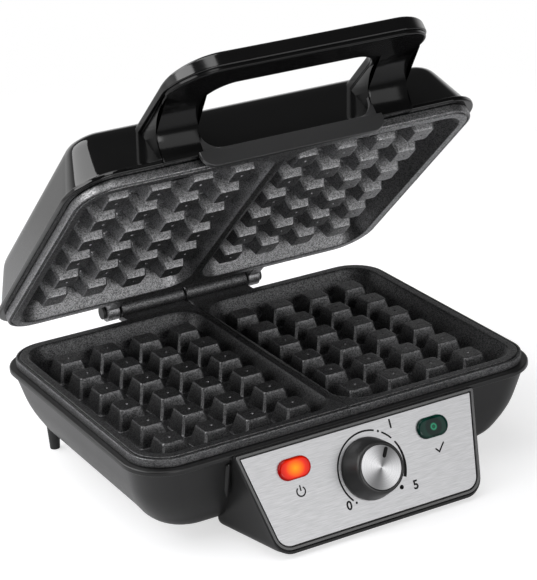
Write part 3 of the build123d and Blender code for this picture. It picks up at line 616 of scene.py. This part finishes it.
leg = leg_rings(opening_half_width, handle_half_width - half_inset)
lower_skins = [skin(swing(lower_ring))] + [skin(swing(leg * side)) for side in both_sides]
piece("handle_low_half", lower_skins, leg_gloss, "lid", ["handle_lower"])

# %% [markdown]
# A flat tab hangs from the handle in front of the lid's flange, and runs into each leg with a hollow
# corner. One outline could hold tab and corners, but it would bulge inwards, so they are three skins.

# %% Tab
tab_half_width, tab_low, tab_high, tab_corner = 0.058, -0.0025, 0.0075, 0.0085
tab_depth, tab_shrink = np.array((0.0, 0.0019, 0.0024, 0.0026)), np.array((1.0, 1.0, 0.985, 0.95))
hollow_radius, hollow_bite, hollow_points = 0.011, 0.0008, 17
hollow_depth = np.array((0.0020, 0.0024, 0.0, 0.0, 0.0020))
tab_sides = rectangle(-tab_half_width, tab_half_width, tab_low, tab_high)
tab_outline = round_corners(tab_sides, (tab_corner, tab_corner, 0.0004, 0.0004), arc=10)
tab_centre = np.array((0, (tab_low + tab_high) / 2))
tab_scale = np.stack((0.9 + 0.1 * tab_shrink, tab_shrink), axis=-1)[:, None]
tab_face = tab_centre + (tab_outline - tab_centre) * tab_scale
tab_rings = lift(tab_face, -flange_half_depth - tab_depth)[..., (0, 2, 1)]


def hollow_corner():
    """The hollow corner between the tab and a leg: rows go round its section, from the tab's and the
    leg's edges at the front to a quarter circle at the front, the same at the back, and to the edges."""
    angle = np.linspace(0, np.pi / 2, hollow_points)
    x, z = opening_half_width - hollow_radius, tab_high + hollow_radius
    curve = np.stack((x + hollow_radius * np.sin(angle), z - hollow_radius * np.cos(angle)), axis=-1)
    along = np.linspace(0, 2, hollow_points)
    share = np.stack((np.clip(along, 0, 1), np.clip(along - 1, 0, 1)), axis=-1)
    edge = (x, tab_high) + hollow_radius * share + (hollow_bite, -hollow_bite)
    rows = np.stack((edge, curve, curve, edge, edge))
    return lift(rows, -flange_half_depth - hollow_depth)[..., (0, 2, 1)]


tab_skins = [skin(swing(tab_rings))]
tab_skins += [skin(swing(hollow_corner() * side), closed=False, lids=False) for side in both_sides]
piece("handle_tab", tab_skins, bezel_satin, "lid")

# %% [markdown]
# ## The plates
# Both plates are the same casting: a rim, two wells with leaning walls, and rows of tapered pegs.
# A height map would blur the steep sides, so each half of a plate is a stack of outlines, and one
# peg is repeated by adding the peg places to its rings. The upper plate is the lower one turned over.

# %% Half plates
well_depth, rim_height, plate_body, plate_gap = 0.014, 0.0055, 0.0175, 0.0004
rim_step, rim_groove, skirt, rim_corner = 0.0004, 0.0012, 0.005, 0.022
well_low, well_high, well_half_length, well_round = 0.0076, 0.1116, 0.078, 0.006
bed_low, bed_high = well_low + well_round, well_high - well_round
rim_low, rim_high, rim_half_length = 0.003, 0.1202, 0.0866
middle_corner, divider_drop = 0.0004, 0.0015
divider_side, divider_end, divider_rise = (0.0035, 0.0075), (0.070, 0.080), (-0.006, -0.0005)


def well_level(low, high, half_length, corner, height):
    """A level of a well in the right half of a plate."""
    return (low, high, -half_length, half_length, corner, corner, height)


def rim_level(inset, corner, height, left=0.0):
    """A level of the rim of the right half of a plate, moved in from the plate's edge."""
    half_length = plate_half_depth - inset
    return (left, plate_half_width - inset, -half_length, half_length, middle_corner, corner, height)


half_plate = tray(
    (
        well_level(bed_low, bed_high, well_half_length - well_round, well_round, -well_depth),
        well_level(well_low, well_high, well_half_length, 0.010, -well_depth),
        well_level(rim_low, rim_high, rim_half_length, 0.016, 0),
        rim_level(0.0025, 0.0195, 0, 0.0008),
        rim_level(0.0023, 0.0197, -rim_groove, 0.0007),
        rim_level(0.0016, 0.0204, -rim_groove, 0.0006),
        rim_level(0.0014, 0.0206, -rim_step, 0.0006),
        rim_level(0, rim_corner, -rim_step),
        rim_level(0, rim_corner, -rim_height),
        rim_level(skirt, rim_corner, -rim_height),
        rim_level(skirt, rim_corner, -plate_body),
    ),
    (0, 0.0022, 0.0007, 0.0002, 0.0001, 0.0001, 0.0002, 0.0007, 0.0006, 0.0004, 0.0006),
    arc=12,
)


def fade(value, start, end):
    """Smooth step from 0 at start to 1 at end: three squares less two cubes of the share."""
    share = np.clip((value - start) / (end - start), 0, 1)
    return share**2 * (3 - 2 * share)


def sink_divider(points):
    """The divider between the wells stands a little lower than the rim, except near its ends."""
    x, y, z = np.moveaxis(points, -1, 0)
    near = (1 - fade(x, *divider_side)) * (1 - fade(np.abs(y), *divider_end))
    drop = divider_drop * near * fade(z, *divider_rise)
    return np.stack((x, y, z - drop), axis=-1)


half_plate = sink_divider(half_plate)
print("half a plate has", half_plate.shape[0], "rings")

# %% Pegs
peg_pitch, peg_columns, peg_rows = 0.026, 4, 6
peg_height, peg_foot_half, peg_top_half = 0.0119, 0.00975, 0.0065
dimple_half, dimple_depth = 0.0010, 0.0006


def peg_level(half, corner, height):
    """A level of a peg: a square whose corners are cut off flat."""
    return (-half, half, -half, half, corner, corner, height - well_depth)


peg = tray(
    (
        peg_level(peg_foot_half + 0.0006, 0.0016, 0.0),
        peg_level(peg_foot_half, 0.0014, 0.0002),
        peg_level(peg_top_half, 0.0011, peg_height),
        peg_level(dimple_half, 0.0008, peg_height),
        peg_level(dimple_half * 0.6, 0.0005, peg_height - dimple_depth),
    ),
    (0, 0.0004, 0.0004, 0.0001, 0),
    arc=2,
    steps=3,
)
well_centre = (well_low + well_high) / 2
peg_x = (np.arange(peg_columns) - (peg_columns - 1) / 2) * peg_pitch
peg_y = (np.arange(peg_rows) - (peg_rows - 1) / 2) * peg_pitch
peg_x = np.concatenate((peg_x - well_centre, peg_x + well_centre))
spots = lift(np.stack(np.meshgrid(peg_x, peg_y), axis=-1).reshape(-1, 2), 0.0)
pegs = peg + spots[:, None, None]
print("pegs on a plate", len(pegs))

# %% [markdown]
# The hinge has four knuckles on one pin: the long inner pair belongs to the lower plate and the short
# outer pair to the upper one. Each is a turned barrel with an arm to its plate, made with the plate.

# %% Hinge knuckles
knuckle_radius, knuckle_edge = 0.006, 0.0005
arm_bite, arm_edge, arm_corner = 0.002, 0.0006, 0.0005
hinge_y, hinge_z = hinge_point[1] - plate_shift, hinge_point[2] - part_height
inner_span, outer_span = (0.0005, 0.0445), (0.0455, 0.0540)


def barrel(start, end):
    """A turned barrel along x about the hinge line, with small chamfers at its ends."""
    radius = knuckle_radius - knuckle_edge * np.array((1, 0, 0, 1))
    rings = lathe(radius, (start, start + knuckle_edge, end - knuckle_edge, end), 40)
    return rings[..., (2, 0, 1)] + (0, hinge_y, hinge_z)


def arm(start, end, low, high):
    """The arm from a plate's back edge to its barrel: a box with rounded edges."""
    front = plate_half_depth - arm_bite
    levels = [
        (start + inset, end - inset, front, hinge_y, arm_corner, arm_corner, height)
        for inset, height in ((arm_edge, low), (0, low + arm_edge), (0, high - arm_edge), (arm_edge, high))
    ]
    return tray(levels, (0, 0.0001, 0.0001, 0), arc=3, steps=3)


def turn_over(points):
    """The upper plate, shut: heights count the other way from the gap between the rims."""
    return points * (1, 1, -1) + (0, 0, plate_gap)


print("the hinge line, behind and above the plates' middle", round(hinge_y, 4), round(hinge_z, 4))

# %% Plates
lower_parts = (half_plate, barrel(*inner_span), arm(*inner_span, -rim_height, -plate_gap))
lower_skins = [skin(stand(part * side)) for part in lower_parts for side in both_sides]
lower_skins.append(skin(stand(pegs)))
piece("lower_grill", lower_skins, shaded_coating, "base", ["lower_plate"])
upper_parts = (turn_over(half_plate), barrel(*outer_span), arm(*outer_span, plate_gap, lid_seat))
upper_skins = [skin(swing(part * side)) for part in upper_parts for side in both_sides]
upper_skins.append(skin(swing(turn_over(pegs))))
piece("upper_grill", upper_skins, plate_coating, "lid", ["upper_plate"])

# %% [markdown]
# ## The tub and the control box
# The tub hangs under the lower plate's rim like a dish, and the control box leans out of its front.
# Both could be joined by a boolean, but such a cut leaves ragged shading, and the join is a sharp line
# on the real object too. So they are two skins of one moulding that pass through each other.

# %% Tub
tub_back, belly_slope, front_dip = flange_half_depth + 0.0006, math.tan(math.radians(14.5)), 0.115
dip_start, dip_end = 0.054, 0.080
flange_top, tub_top, tub_belly, tub_floor = -0.0055, -0.0087, -0.0307, -0.0487
belly_inset = flange_lip + (tub_top - tub_belly) * belly_slope
floor_inset = flange_lip + (tub_top - tub_floor) * wall_slope
tub_levels = (
    (0.060, 0.015, tub_floor + shell_wall, 0),
    (floor_inset + shell_wall_across / 2, 0.022, tub_floor + shell_wall, 0.006),
    (belly_inset + shell_wall_across, inner_corner, tub_belly, 0.0055),
    (flange_lip + shell_wall_across, inner_corner, tub_top, 0.0005),
    (mouth_inset, mouth_corner, tub_top, 0.0003),
    (mouth_inset, mouth_corner, flange_top, 0.0003),
    (0, flange_corner, flange_top, 0.0012),
    (0, flange_corner, tub_top, 0.0010),
    (flange_lip, flange_corner - flange_lip, tub_top, 0.0012),
    (belly_inset, flange_corner - flange_lip, tub_belly, 0.0080),
    (floor_inset, 0.023, tub_floor, 0.0085),
    (0.060, 0.015, tub_floor, 0),
)
tub_rings = shell(tub_levels, tub_back)


def dip_front(points):
    """The tub is deeper at its front: depths below the flange grow by a share that fades in forwards."""
    depth = np.clip(tub_top - points[..., 2], 0, None)
    share = front_dip * fade(-points[..., 1], dip_start, dip_end)
    return points - (depth * share)[..., None] * (0, 0, 1)


print("the tub has", len(tub_rings), "rings")

# %% Control panel
dial_point, dial_out = np.array(dial["pos_m"]), np.array(dial["axis"])
panel_up = np.cross(dial_out, (1, 0, 0))
dial_drop, fascia_height, bezel_top = 0.0245, 0.052, 0.0029
fascia_top_half, fascia_foot_half, fascia_corner = 0.0744, 0.0636, 0.008
panel_slope = (fascia_top_half - fascia_foot_half) / fascia_height


def on_panel(points):
    """Panel coordinates, across, up the slope and out of it from the dial's axis, in the part's frame."""
    return dial_point + np.asarray(points, float) @ np.stack(((1, 0, 0), panel_up, dial_out))


def panel_ring(side, foot, out, top_corner):
    """The fascia's outline, grown at its sides and foot, at an offset from the panel."""
    top, low = dial_drop + min(side, bezel_top), dial_drop - fascia_height - foot
    reach = side * math.hypot(1, panel_slope)
    top_half = fascia_top_half + (top - dial_drop) * panel_slope + reach
    low_half = fascia_top_half + (low - dial_drop) * panel_slope + reach
    corners = ((-low_half, low), (low_half, low), (top_half, top), (-top_half, top))
    low_corner = fascia_corner + side
    ring = round_corners(corners, (low_corner, low_corner, top_corner, top_corner), arc=12)
    return on_panel(lift(ring, out))


print("the panel leans back", math.degrees(math.asin(dial_out[2])), "degrees")

# %% Control box
flare_low, flare_high, wall_overlap = 0.27, 0.10, 0.003
box_rows = (  # growth at the sides and at the foot, offset, top corners
    (-0.0002, -0.0002, -0.0018, 0.0005),
    (0.0026, 0.0026, -0.0018, 0.0012),
    (0.0026, 0.0028, -0.0002, 0.0012),
    (0.0028, 0.0031, 0.0000, 0.0014),
    (0.0030, 0.0040, -0.0004, 0.0015),
    (0.0030, 0.0046, -0.0012, 0.0015),
)
box_edge = (0.0030, 0.0052, -0.0024, 0.0015)
lip_rows = (
    (0.0008, 0.0008, -0.0018, 0.0008),
    (0.0008, 0.0008, 0.0003, 0.0008),
    (0.0010, 0.0010, 0.0006, 0.0009),
    (0.0022, 0.0022, 0.0006, 0.0011),
    (0.0024, 0.0024, 0.0003, 0.0011),
    (0.0024, 0.0024, -0.0018, 0.0011),
    (0.0008, 0.0008, -0.0018, 0.0008),
)


def wall_front(height):
    """The tub's front wall, behind the origin, at heights in the part's frame: straight between the
    flange, the belly and the floor."""
    depth = part_height + tub_top - np.asarray(height)
    levels = (0, tub_top - tub_belly, tub_top - tub_floor)
    inset = np.interp(depth, levels, (flange_lip, belly_inset, floor_inset))
    return plate_shift - flange_half_depth + inset


def run_to_wall(ring, share):
    """A ring of the box moved along y by a share of its way into the tub's wall. It widens by a flare
    that is larger near the table."""
    x, y, z = ring.T
    push = (wall_front(z) + wall_overlap - y) * share
    flare = np.interp(z, (0, part_height + tub_top), (flare_low, flare_high))
    return np.stack((x * (1 + flare * push / fascia_top_half), y + push, z), axis=-1)


box_rings = [panel_ring(*row) for row in box_rows]
box_rings += [run_to_wall(panel_ring(*box_edge), share) for share in (0.1, 0.5, 1.0)]
rib_height = part_height - np.array((0.0115, 0.0120, 0.0130, 0.0280, 0.0380, 0.0430, 0.0450))
rib_radius = np.array((0.0002, 0.0012, 0.0018, 0.0018, 0.0015, 0.0010, 0.0002))
rib_x = np.interp(rib_height, part_height - np.array((0.0450, 0.0270, 0.0115)), (-0.0750, -0.0782, -0.0786))
rib = lathe(rib_radius, rib_height, 20)
rib = rib + np.stack((rib_x, wall_front(rib_height), 0 * rib_x), axis=-1)[:, None]
base_skins = [skin(stand(dip_front(tub_rings))), skin(np.stack(box_rings))]
base_skins += [skin(rib * side) for side in both_sides]
piece("base_tub", base_skins, tub_satin, "base", ["base_housing"])
lip_skins = [skin(np.stack([panel_ring(*row) for row in lip_rows]), lids=False)]
piece("bezel_lip", lip_skins, bezel_satin, "base")

# %% [markdown]
# ## Lamps and dial
# Two pill-shaped lenses sit in the steel: the left one is lit and glows from its middle, the right one
# is dark green, with a painted reflection of its unlit lamp and a faint painted glow. A light source inside
# would be slow and noisy, so the glow is an emission colour that falls off from the lens's middle, in the
# lens's own coordinates.

# %% Lens patterns
lens_span, lens_lift, lens_half, lens_round, lens_rise = 0.045, 0.0122, 0.0099, 0.00585, 0.0022
lens_rim, lens_gloss, lens_grain, lens_mirror = (0.80, 0.95), (0.06, 0.12), 700.0, 0.2
panel_turn = math.atan2(panel_up[2], panel_up[1])


def panel_place(tree, across, up):
    """The shaded point in panel coordinates, from a place on the panel."""
    middle = tuple(on_panel((across, up, 0)))
    wires = {"Vector": object_place(tree), "Location": middle, "Rotation": (panel_turn, 0, 0)}
    return place(tree, "ShaderNodeMapping", wires, vector_type="TEXTURE").outputs["Vector"]


def colour_line(value, stops):
    """A colour ramp from rows of a place and a colour."""
    line = place(value.id_data, "ShaderNodeValToRGB", {"Fac": value})
    elements = line.color_ramp.elements
    while len(elements) < len(stops):
        elements.new(0.5)
    for element, (where, *colour) in zip(elements, stops):
        element.position, element.color = where, (*colour, 1)
    return line.outputs["Color"]


def pill_distance(tree, across, stretch):
    """Distance from a lens's middle over its half length, counting the short way by a stretch."""
    where = panel_place(tree, across, lens_lift)
    return length(scaled(where, (1 / lens_half, stretch / lens_half, 0)))


def pill_edge(tree, across):
    """Distance from the line down a lens's middle over its round ends' radius: 1 all round its edge."""
    split = place(tree, "ShaderNodeSeparateXYZ", {"Vector": panel_place(tree, across, lens_lift)}).outputs
    along = reckon("ABSOLUTE", split["X"])
    past = reckon("MAXIMUM", reckon("SUBTRACT", along, lens_half - lens_round), 0.0)
    flat = place(tree, "ShaderNodeCombineXYZ", {"X": past, "Y": split["Y"]}).outputs["Vector"]
    return reckon("DIVIDE", length(flat), lens_round)


def lens_finish(name, across, stretch, paint, glow, strength, shade):
    """Tinted lens: its colour and its glow follow the distance from its middle, and the glow turns to a
    dark shade close to its edge."""
    material, tree, shader = new_finish(name, Emission_Strength=strength, Specular_IOR_Level=lens_mirror)
    away = pill_distance(tree, across, stretch)
    edge = ramp(pill_edge(tree, across), 0.0, 1.0, *lens_rim)
    light = tint(edge, colour_line(away, glow), shade)
    roughness = ramp(effect(tree, moulded_grain, Scale=lens_grain)["Rub"], *lens_gloss)
    colour = colour_line(away, paint)
    wire(shader, {"Base Color": colour, "Emission Color": light, "Roughness": roughness})
    return material


print("the panel's coordinates are turned", math.degrees(panel_turn), "degrees about x")

# %% Lens finishes
# Each row is a distance from the lens's middle and its red, green and blue.
red_paint = ((0.0, 0.20, 0.04, 0.0), (0.6, 0.15, 0.01, 0.0), (1.0, 0.10, 0.0, 0.0))
red_glow = ((0.0, 1.0, 0.40, 0.0), (0.32, 1.0, 0.20, 0.0), (0.62, 0.85, 0.02, 0.008), (1.0, 0.42, 0.0, 0.0))
# The dark green lens's colour; the lighter ring near its middle is a painted reflection of the unlit lamp
# behind it.
green_tint_and_reflection = (
    (0.0, 0.01, 0.10, 0.05),
    (0.09, 0.002, 0.012, 0.009),
    (0.15, 0.03, 0.26, 0.14),
    (0.23, 0.001, 0.010, 0.008),
    (0.48, 0.001, 0.010, 0.008),
    (0.60, 0.002, 0.030, 0.020),
    (1.0, 0.001, 0.016, 0.012),
)
# A faint painted glow on that ring, though the lamp behind the green lens is unlit.
green_painted_glow = (
    (0.0, 0.0, 0.02, 0.01),
    (0.15, 0.0, 0.12, 0.06),
    (0.25, 0.0, 0.003, 0.002),
    (1.0, 0.0, 0.004, 0.003),
)
lit_red = lens_finish("lit_red", -lens_span, 1.2, red_paint, red_glow, 0.9, (0.22, 0.0, 0.0))
# The green lens glows only as painted light: its lamp is off.
dark_green = lens_finish("dark_green", lens_span, 1.0, green_tint_and_reflection, green_painted_glow, 0.5, (0.0, 0.002, 0.001))
print("lens finishes", lit_red.name, dark_green.name)

# %% Lenses
lens_inset = np.array((-0.0008, 0.0, 0.0, 0.0004, 0.0012, 0.0030, 0.0050))
lens_out = np.append((-0.0045, -0.0042), lens_rise * np.array((0.6, 0.85, 0.96, 1.0, 1.0)))
pill_share = 0.999  # an end's radius, as a share of half the width


def lens_rings(across):
    """A pill seen along the panel's normal, stepping in and up to a rounded top."""
    half, tall = lens_half - lens_inset, lens_round - lens_inset
    radius = (tall * pill_share)[:, None]
    ring = round_corners(rectangle(-half, half, -tall, tall), radius, arc=12, sides=(0.5,))
    return on_panel(lift(ring + (across, lens_lift), lens_out))


piece("power_lamp_lens", [skin(lens_rings(-lens_span))], lit_red, "base", ["power_lens"])
piece("ready_lamp_lens", [skin(lens_rings(lens_span))], dark_green, "base", ["ready_lens"])

# %% [markdown]
# The knob is a turned black skirt with a steel disc let into its face. Turned steel shows bright and
# dark fans because its fine grooves run in circles. Anisotropic shading would give that, but here the
# fans are painted: a painted highlight and painted shade, as a colour that depends on the angle about the
# axis.

# %% Turned steel
# Turn and gain of the painted highlight and shade fans; the grooves are real relief.
painted_fan_turn, painted_fan_gain, groove_scale = math.radians(72), 1.6, 5200.0
groove_gloss, groove_relief = (0.24, 0.40), (0.06, 0.0001)


def turned_steel(name, dark, light):
    """Steel disc: grooves by distance from the axis, and two bright and two dark fans by the angle about
    it, as the cosine of twice the angle: a painted highlight and painted shade in its colour."""
    material, tree, shader = new_finish(name, Metallic=1.0)
    split = place(tree, "ShaderNodeSeparateXYZ", {"Vector": panel_place(tree, 0.0, 0.0)}).outputs
    flat = place(tree, "ShaderNodeCombineXYZ", {"X": split["X"], "Y": split["Y"]}).outputs["Vector"]
    angle = reckon("ARCTAN2", split["Y"], split["X"])
    wave = reckon("COSINE", reckon("MULTIPLY_ADD", angle, 2.0, painted_fan_turn))
    fan = ramp(wave, 0.0, 1.0, -1.0, 1.0)
    wires = {"W": length(flat), "Scale": groove_scale, "Detail": 3.0}
    groove = place(tree, "ShaderNodeTexNoise", wires, noise_dimensions="1D").outputs["Fac"]
    # The shade is the painted fans, broken up by the grooves.
    shade = reckon("MULTIPLY", reckon("MULTIPLY", fan, groove), painted_fan_gain)
    dress(shader, (dark, light), shade, groove_gloss, groove, groove, groove_relief)
    return material


# Dark and light ends of the painted highlight and shade fans on the cap.
cap_steel = turned_steel("cap_steel", grey(0.13), grey(0.72))
print("finish", cap_steel.name)

# %% Knob
pointer_angle, pointer_foot, pointer_out = math.radians(31), 0.0136, 0.01415
pointer_length, pointer_half, pointer_middle, pointer_round = 0.0062, 0.00105, 0.0086, 0.99
knob_radius = np.array((16.2, 17.2, 17.6, 17.5, 16.9, 14.9, 14.4, 13.9, 13.3, 13.0, 12.8, 12.8, 6.0)) / 1000
knob_out = np.array((0.6, 0.6, 1.0, 1.6, 4.0, 11.8, 13.2, 13.8, 14.0, 14.0, 13.8, 13.0, 13.0)) / 1000
cap_radius = np.array((6.0, 12.7, 12.7, 12.3, 11.0, 6.0, 1.0)) / 1000
cap_out = np.array((12.8, 12.8, 13.4, 13.8, 13.9, 14.0, 14.0)) / 1000


def turned_skins(radius, out):
    """The skin of a shape turned about the dial's axis, from its radii and heights above the steel."""
    return [skin(on_panel(lathe(radius, out, 96)))]


def pointer_rings():
    """A flat bar with round ends along the pointer's direction, a little proud of the cap."""
    bar = rectangle(-pointer_half, pointer_half, -pointer_length / 2, pointer_length / 2)
    ring = round_corners(bar, pointer_half * pointer_round, arc=6, sides=(0.5,)) + (0, pointer_middle)
    cosine, sine = math.cos(pointer_angle), math.sin(pointer_angle)
    ring = ring @ np.array(((cosine, -sine), (sine, cosine)))
    return on_panel(lift(np.stack((ring, ring)), (pointer_foot, pointer_out)))


piece("dial_skirt", turned_skins(knob_radius, knob_out), knob_satin, "knob", ["knob_skirt"])
piece("dial_cap", turned_skins(cap_radius, cap_out), cap_steel, "knob", ["knob_cap"])
piece("dial_pointer", [skin(pointer_rings())], print_black, "knob")

# %% [markdown]
# The fascia carries a printed ring round the dial, broken by dots. Print is a film of ink. It could be
# a colour in the steel's material, but separate thin pieces stay sharp at any distance, so each mark is
# a flat mesh that lies a hair above the steel.

# %% Printed ring
ink_height, arc_points = 0.00004, 48
ring_radius, ring_across, ring_up, ring_half = 0.0212, 0.0014, -0.0004, 0.00050
swell_half, small_dot, large_dot = 0.0010, 0.0007, 0.0013
ring_arcs, swell_arc = ((-131, 20), (33, 52)), (59, 117)
ring_dots = ((-137, small_dot), (27, small_dot), (134, large_dot))


def band(path, half):
    """A printed line along a path in panel coordinates. Each point goes to both sides along the sum of
    the two unit normals that meet there, over one plus the cosine of their angle, so corners stay full."""
    path = np.asarray(path, float)
    step = np.diff(path, axis=0)
    step /= np.linalg.norm(step, axis=1, keepdims=True)
    before, after = np.concatenate((step[:1], step)), np.concatenate((step, step[-1:]))
    normal = (before + after)[:, ::-1] * (-1, 1) / (1 + (before * after).sum(1))[:, None]
    edges = path + np.array((1.0, -1.0))[:, None, None] * np.reshape(half, (-1, 1)) * normal
    return skin(on_panel(lift(edges, ink_height)), closed=False, lids=False)


def arc_path(start, end, radius=ring_radius, across=ring_across, up=ring_up):
    """Points of an arc about a middle: angles in degrees clockwise from the top."""
    angle = np.radians(np.linspace(start, end, arc_points))
    return np.stack((across + radius * np.sin(angle), up + radius * np.cos(angle)), axis=-1)


def dot_mark(angle, radius):
    """A printed dot on the ring."""
    spot = np.append(arc_path(angle, angle)[0], 0)
    return skin(on_panel(lathe((radius, radius * 0.5), (ink_height, ink_height), 24) + spot))


marks = [band(arc_path(*ends), ring_half) for ends in ring_arcs]
marks += [band(arc_path(*swell_arc), np.linspace(ring_half, swell_half, arc_points))]
marks += [dot_mark(*dot) for dot in ring_dots]
piece("dial_marks", marks, print_black, "base")

# %% [markdown]
# Plain numbers stand round the ring, and a general sign stands under each lens: a broken ring with a
# bar for power, and a tick for ready. The numbers come from Blender's own font, made a mesh. The signs
# are printed lines like the ring.

# %% Numbers and signs
number_size, number_weight, sign_half, tick_half = 0.0070, 0.00020, 0.00040, 0.00045
number_places = (("0", -0.0179, -0.0164), ("1", 0.0196, 0.0203), ("5", 0.0257, -0.0163))
power_spot, tick_spot = np.array((-0.0442, -0.0010)), np.array((0.0468, -0.0004))
power_radius, power_gap, power_bar = 0.0026, 36, ((0, 0.0003), (0, 0.0035))
tick_line = ((-0.0030, 0.0003), (-0.0010, -0.0020), (0.0032, 0.0027))


def number_mark(text, across, up):
    """A printed number: a text curve made a mesh, then laid on the panel."""
    curve = bpy.data.curves.new("number", "FONT")
    curve.body, curve.size, curve.offset = text, number_size, number_weight
    curve.align_x, curve.align_y = "CENTER", "CENTER"
    holder = new_object("number", curve)
    mesh = bpy.data.meshes.new_from_object(holder)
    bpy.data.objects.remove(holder)
    mesh.calc_loop_triangles()
    flat, corners = np.empty(len(mesh.vertices) * 3), np.empty(len(mesh.loop_triangles) * 3, int)
    mesh.vertices.foreach_get("co", flat)
    mesh.loop_triangles.foreach_get("vertices", corners)
    return on_panel(flat.reshape(-1, 3) * (1, 1, 0) + (across, up, ink_height)), [corners.reshape(-1, 3)]


piece("dial_numbers", [number_mark(*mark) for mark in number_places], print_black, "base")
signs = [band(arc_path(power_gap, 360 - power_gap, power_radius, *power_spot), sign_half)]
signs += [band(power_spot + power_bar, sign_half), band(tick_spot + tick_line, tick_half)]
piece("lamp_signs", signs, print_black, "base")

# %% [markdown]
# ## The pieces that stay as the CAD made them
# Screws, feet, pin, sheet metal and the parts inside are right as solids. They could be modelled again,
# but that would add nothing. They only need finishes, which go into their material slots.

# %% CAD finishes
finish_nodes = (
    (fascia_steel, "control_fascia"),
    (plain_steel, "lower_plate_screws upper_plate_screws handle_screws bottom_cover_screws"),
    (plain_steel, "thermostat_nut thermostat_shaft thermal_fuse power_lamp ready_lamp"),
    (dark_sheath, "lower_heater upper_heater"),
    (bright_sheet, "lower_reflector upper_reflector"),
    (matt_black, "hinge_pin bottom_cover rear_foot_left rear_foot_right"),
    (matt_black, "front_pad_left front_pad_right cord_gland"),
    (stat_brown, "thermostat_body"),
    (block_cream, "terminal_block"),
)
for finish, names in finish_nodes:
    for name in names.split():
        slots = frame["nodes"][name].data.materials
        slots.clear()
        slots.append(finish)
    print(finish.name, "on", names)

# %% [markdown]
# ## Floor and light
# The photograph has a white ground that keeps a soft grey shadow. The floor is pale and takes the
# lamps as any surface does, and for the camera and for reflections it adds a little white of its own.
# It could end at a backdrop, but a floor that fades out shows no edge from any side.

# %% Floor
floor_radius, floor_hole, fade_start, floor_drop = 0.85, 0.001, 0.36, 0.0002
floor_white, floor_gloss_white = 0.62, 0.16


def seen_and_mirrored(tree):
    """1 for a ray that comes from the camera or through glass, and 1 for a ray from a reflection."""
    path = place(tree, "ShaderNodeLightPath").outputs
    return reckon("MAXIMUM", path["Is Camera Ray"], path["Is Transmission Ray"]), path["Is Glossy Ray"]


floor_mesh = bpy.data.meshes.new("floor")
floor_rings = lathe((floor_radius, floor_hole), (-floor_drop, -floor_drop), 96)
floor_vertices, floor_faces = skin(floor_rings, lids=False)
floor_mesh.from_pydata(floor_vertices.tolist(), [], floor_faces[0].tolist())
floor = new_object("floor", floor_mesh)
floor_finish, floor_tree, floor_shader = new_finish("pale_floor", Roughness=0.5, Emission_Color=(1, 1, 1, 1))
floor_place = object_place(floor_tree)
cloud = tint(noise(floor_place, scale=3.0), grey(0.51), grey(0.53))
fading = ramp(length(floor_place), 1.0, 0.0, fade_start, floor_radius, smooth=True)
seen, mirrored = seen_and_mirrored(floor_tree)
dim = reckon("MULTIPLY", mirrored, floor_gloss_white)
glow = reckon("MULTIPLY_ADD", seen, floor_white, dim)
wire(floor_shader, {"Base Color": cloud, "Alpha": fading, "Emission Strength": glow})
floor_mesh.materials.append(floor_finish)
print("floor", len(floor_mesh.polygons), "faces")

# %% [markdown]
# The world is white to the camera. Gloss black would turn grey under an even white sky, so reflections
# see a pale band behind the object, near the horizon, that darkens upwards and to the front.

# %% World
soft_fill = 0.15
# Each is the light at the start and at the end, and the heights or depths where it starts and ends.
sky_above, sky_below = (1.0, 0.06, 0.05, 0.45), (0.50, 1.0, -0.20, -0.05)
sky_behind = (0.10, 1.0, -0.25, 0.25)
world = bpy.data.worlds.new("studio")
bpy.context.scene.world = world
world.use_nodes = True
world_tree = world.node_tree
background = world_tree.nodes["Background"]
sky_place = place(world_tree, "ShaderNodeTexCoord").outputs["Generated"]
way = place(world_tree, "ShaderNodeSeparateXYZ", {"Vector": sky_place}).outputs
above = ramp(way["Z"], *sky_above, smooth=True)
below = ramp(way["Z"], *sky_below, smooth=True)
behind = ramp(way["Y"], *sky_behind, smooth=True)
sweep = reckon("MULTIPLY", reckon("MULTIPLY", above, below), behind)
seen, mirrored = seen_and_mirrored(world_tree)
lit = place(world_tree, "ShaderNodeMix", {"Factor": mirrored, "A": soft_fill, "B": sweep}).outputs["Result"]
shown = place(world_tree, "ShaderNodeMix", {"Factor": seen, "A": lit, "B": 1.0}).outputs["Result"]
wire(background, {"Color": (1, 1, 1, 1), "Strength": shown})
print("world", world.name, len(world_tree.nodes), "nodes")

# %% [markdown]
# The lamps could be points or spots, but gloss black shows its lamps, so they are large panels that it
# shows as broad soft shapes.

# %% Lamps
lamp_target = Vector((0, 0, 0.12))
lamp_panels = (  # name, place, width, height, power, shape
    ("top_panel", (-0.2, -0.3, 1.8), 1.2, 1.0, 11, "RECTANGLE"),
    ("right_panel", (0.52, -1.86, 0.64), 2.2, 1.2, 12.5, "RECTANGLE"),
    ("back_panel", (-0.885, 1.09, 1.435), 1.9, 1.5, 26, "ELLIPSE"),
    ("front_panel", (-0.25, -1.95, 0.30), 0.8, 0.5, 6, "RECTANGLE"),
    ("left_panel", (-1.78, -0.05, 1.2), 1.3, 1.2, 20, "RECTANGLE"),
)


def soft_panel(name, place_at, width, height, power, shape):
    """A panel lamp at a place, turned to face the target."""
    data = bpy.data.lights.new(name, "AREA")
    data.shape, data.size, data.size_y, data.energy = shape, width, height, power
    lamp = new_object(name, data)
    lamp.location = place_at
    lamp.rotation_euler = (lamp_target - Vector(place_at)).to_track_quat("-Z", "Y").to_euler()


for panel in lamp_panels:
    soft_panel(*panel)
print("lamps", len(bpy.data.lights))
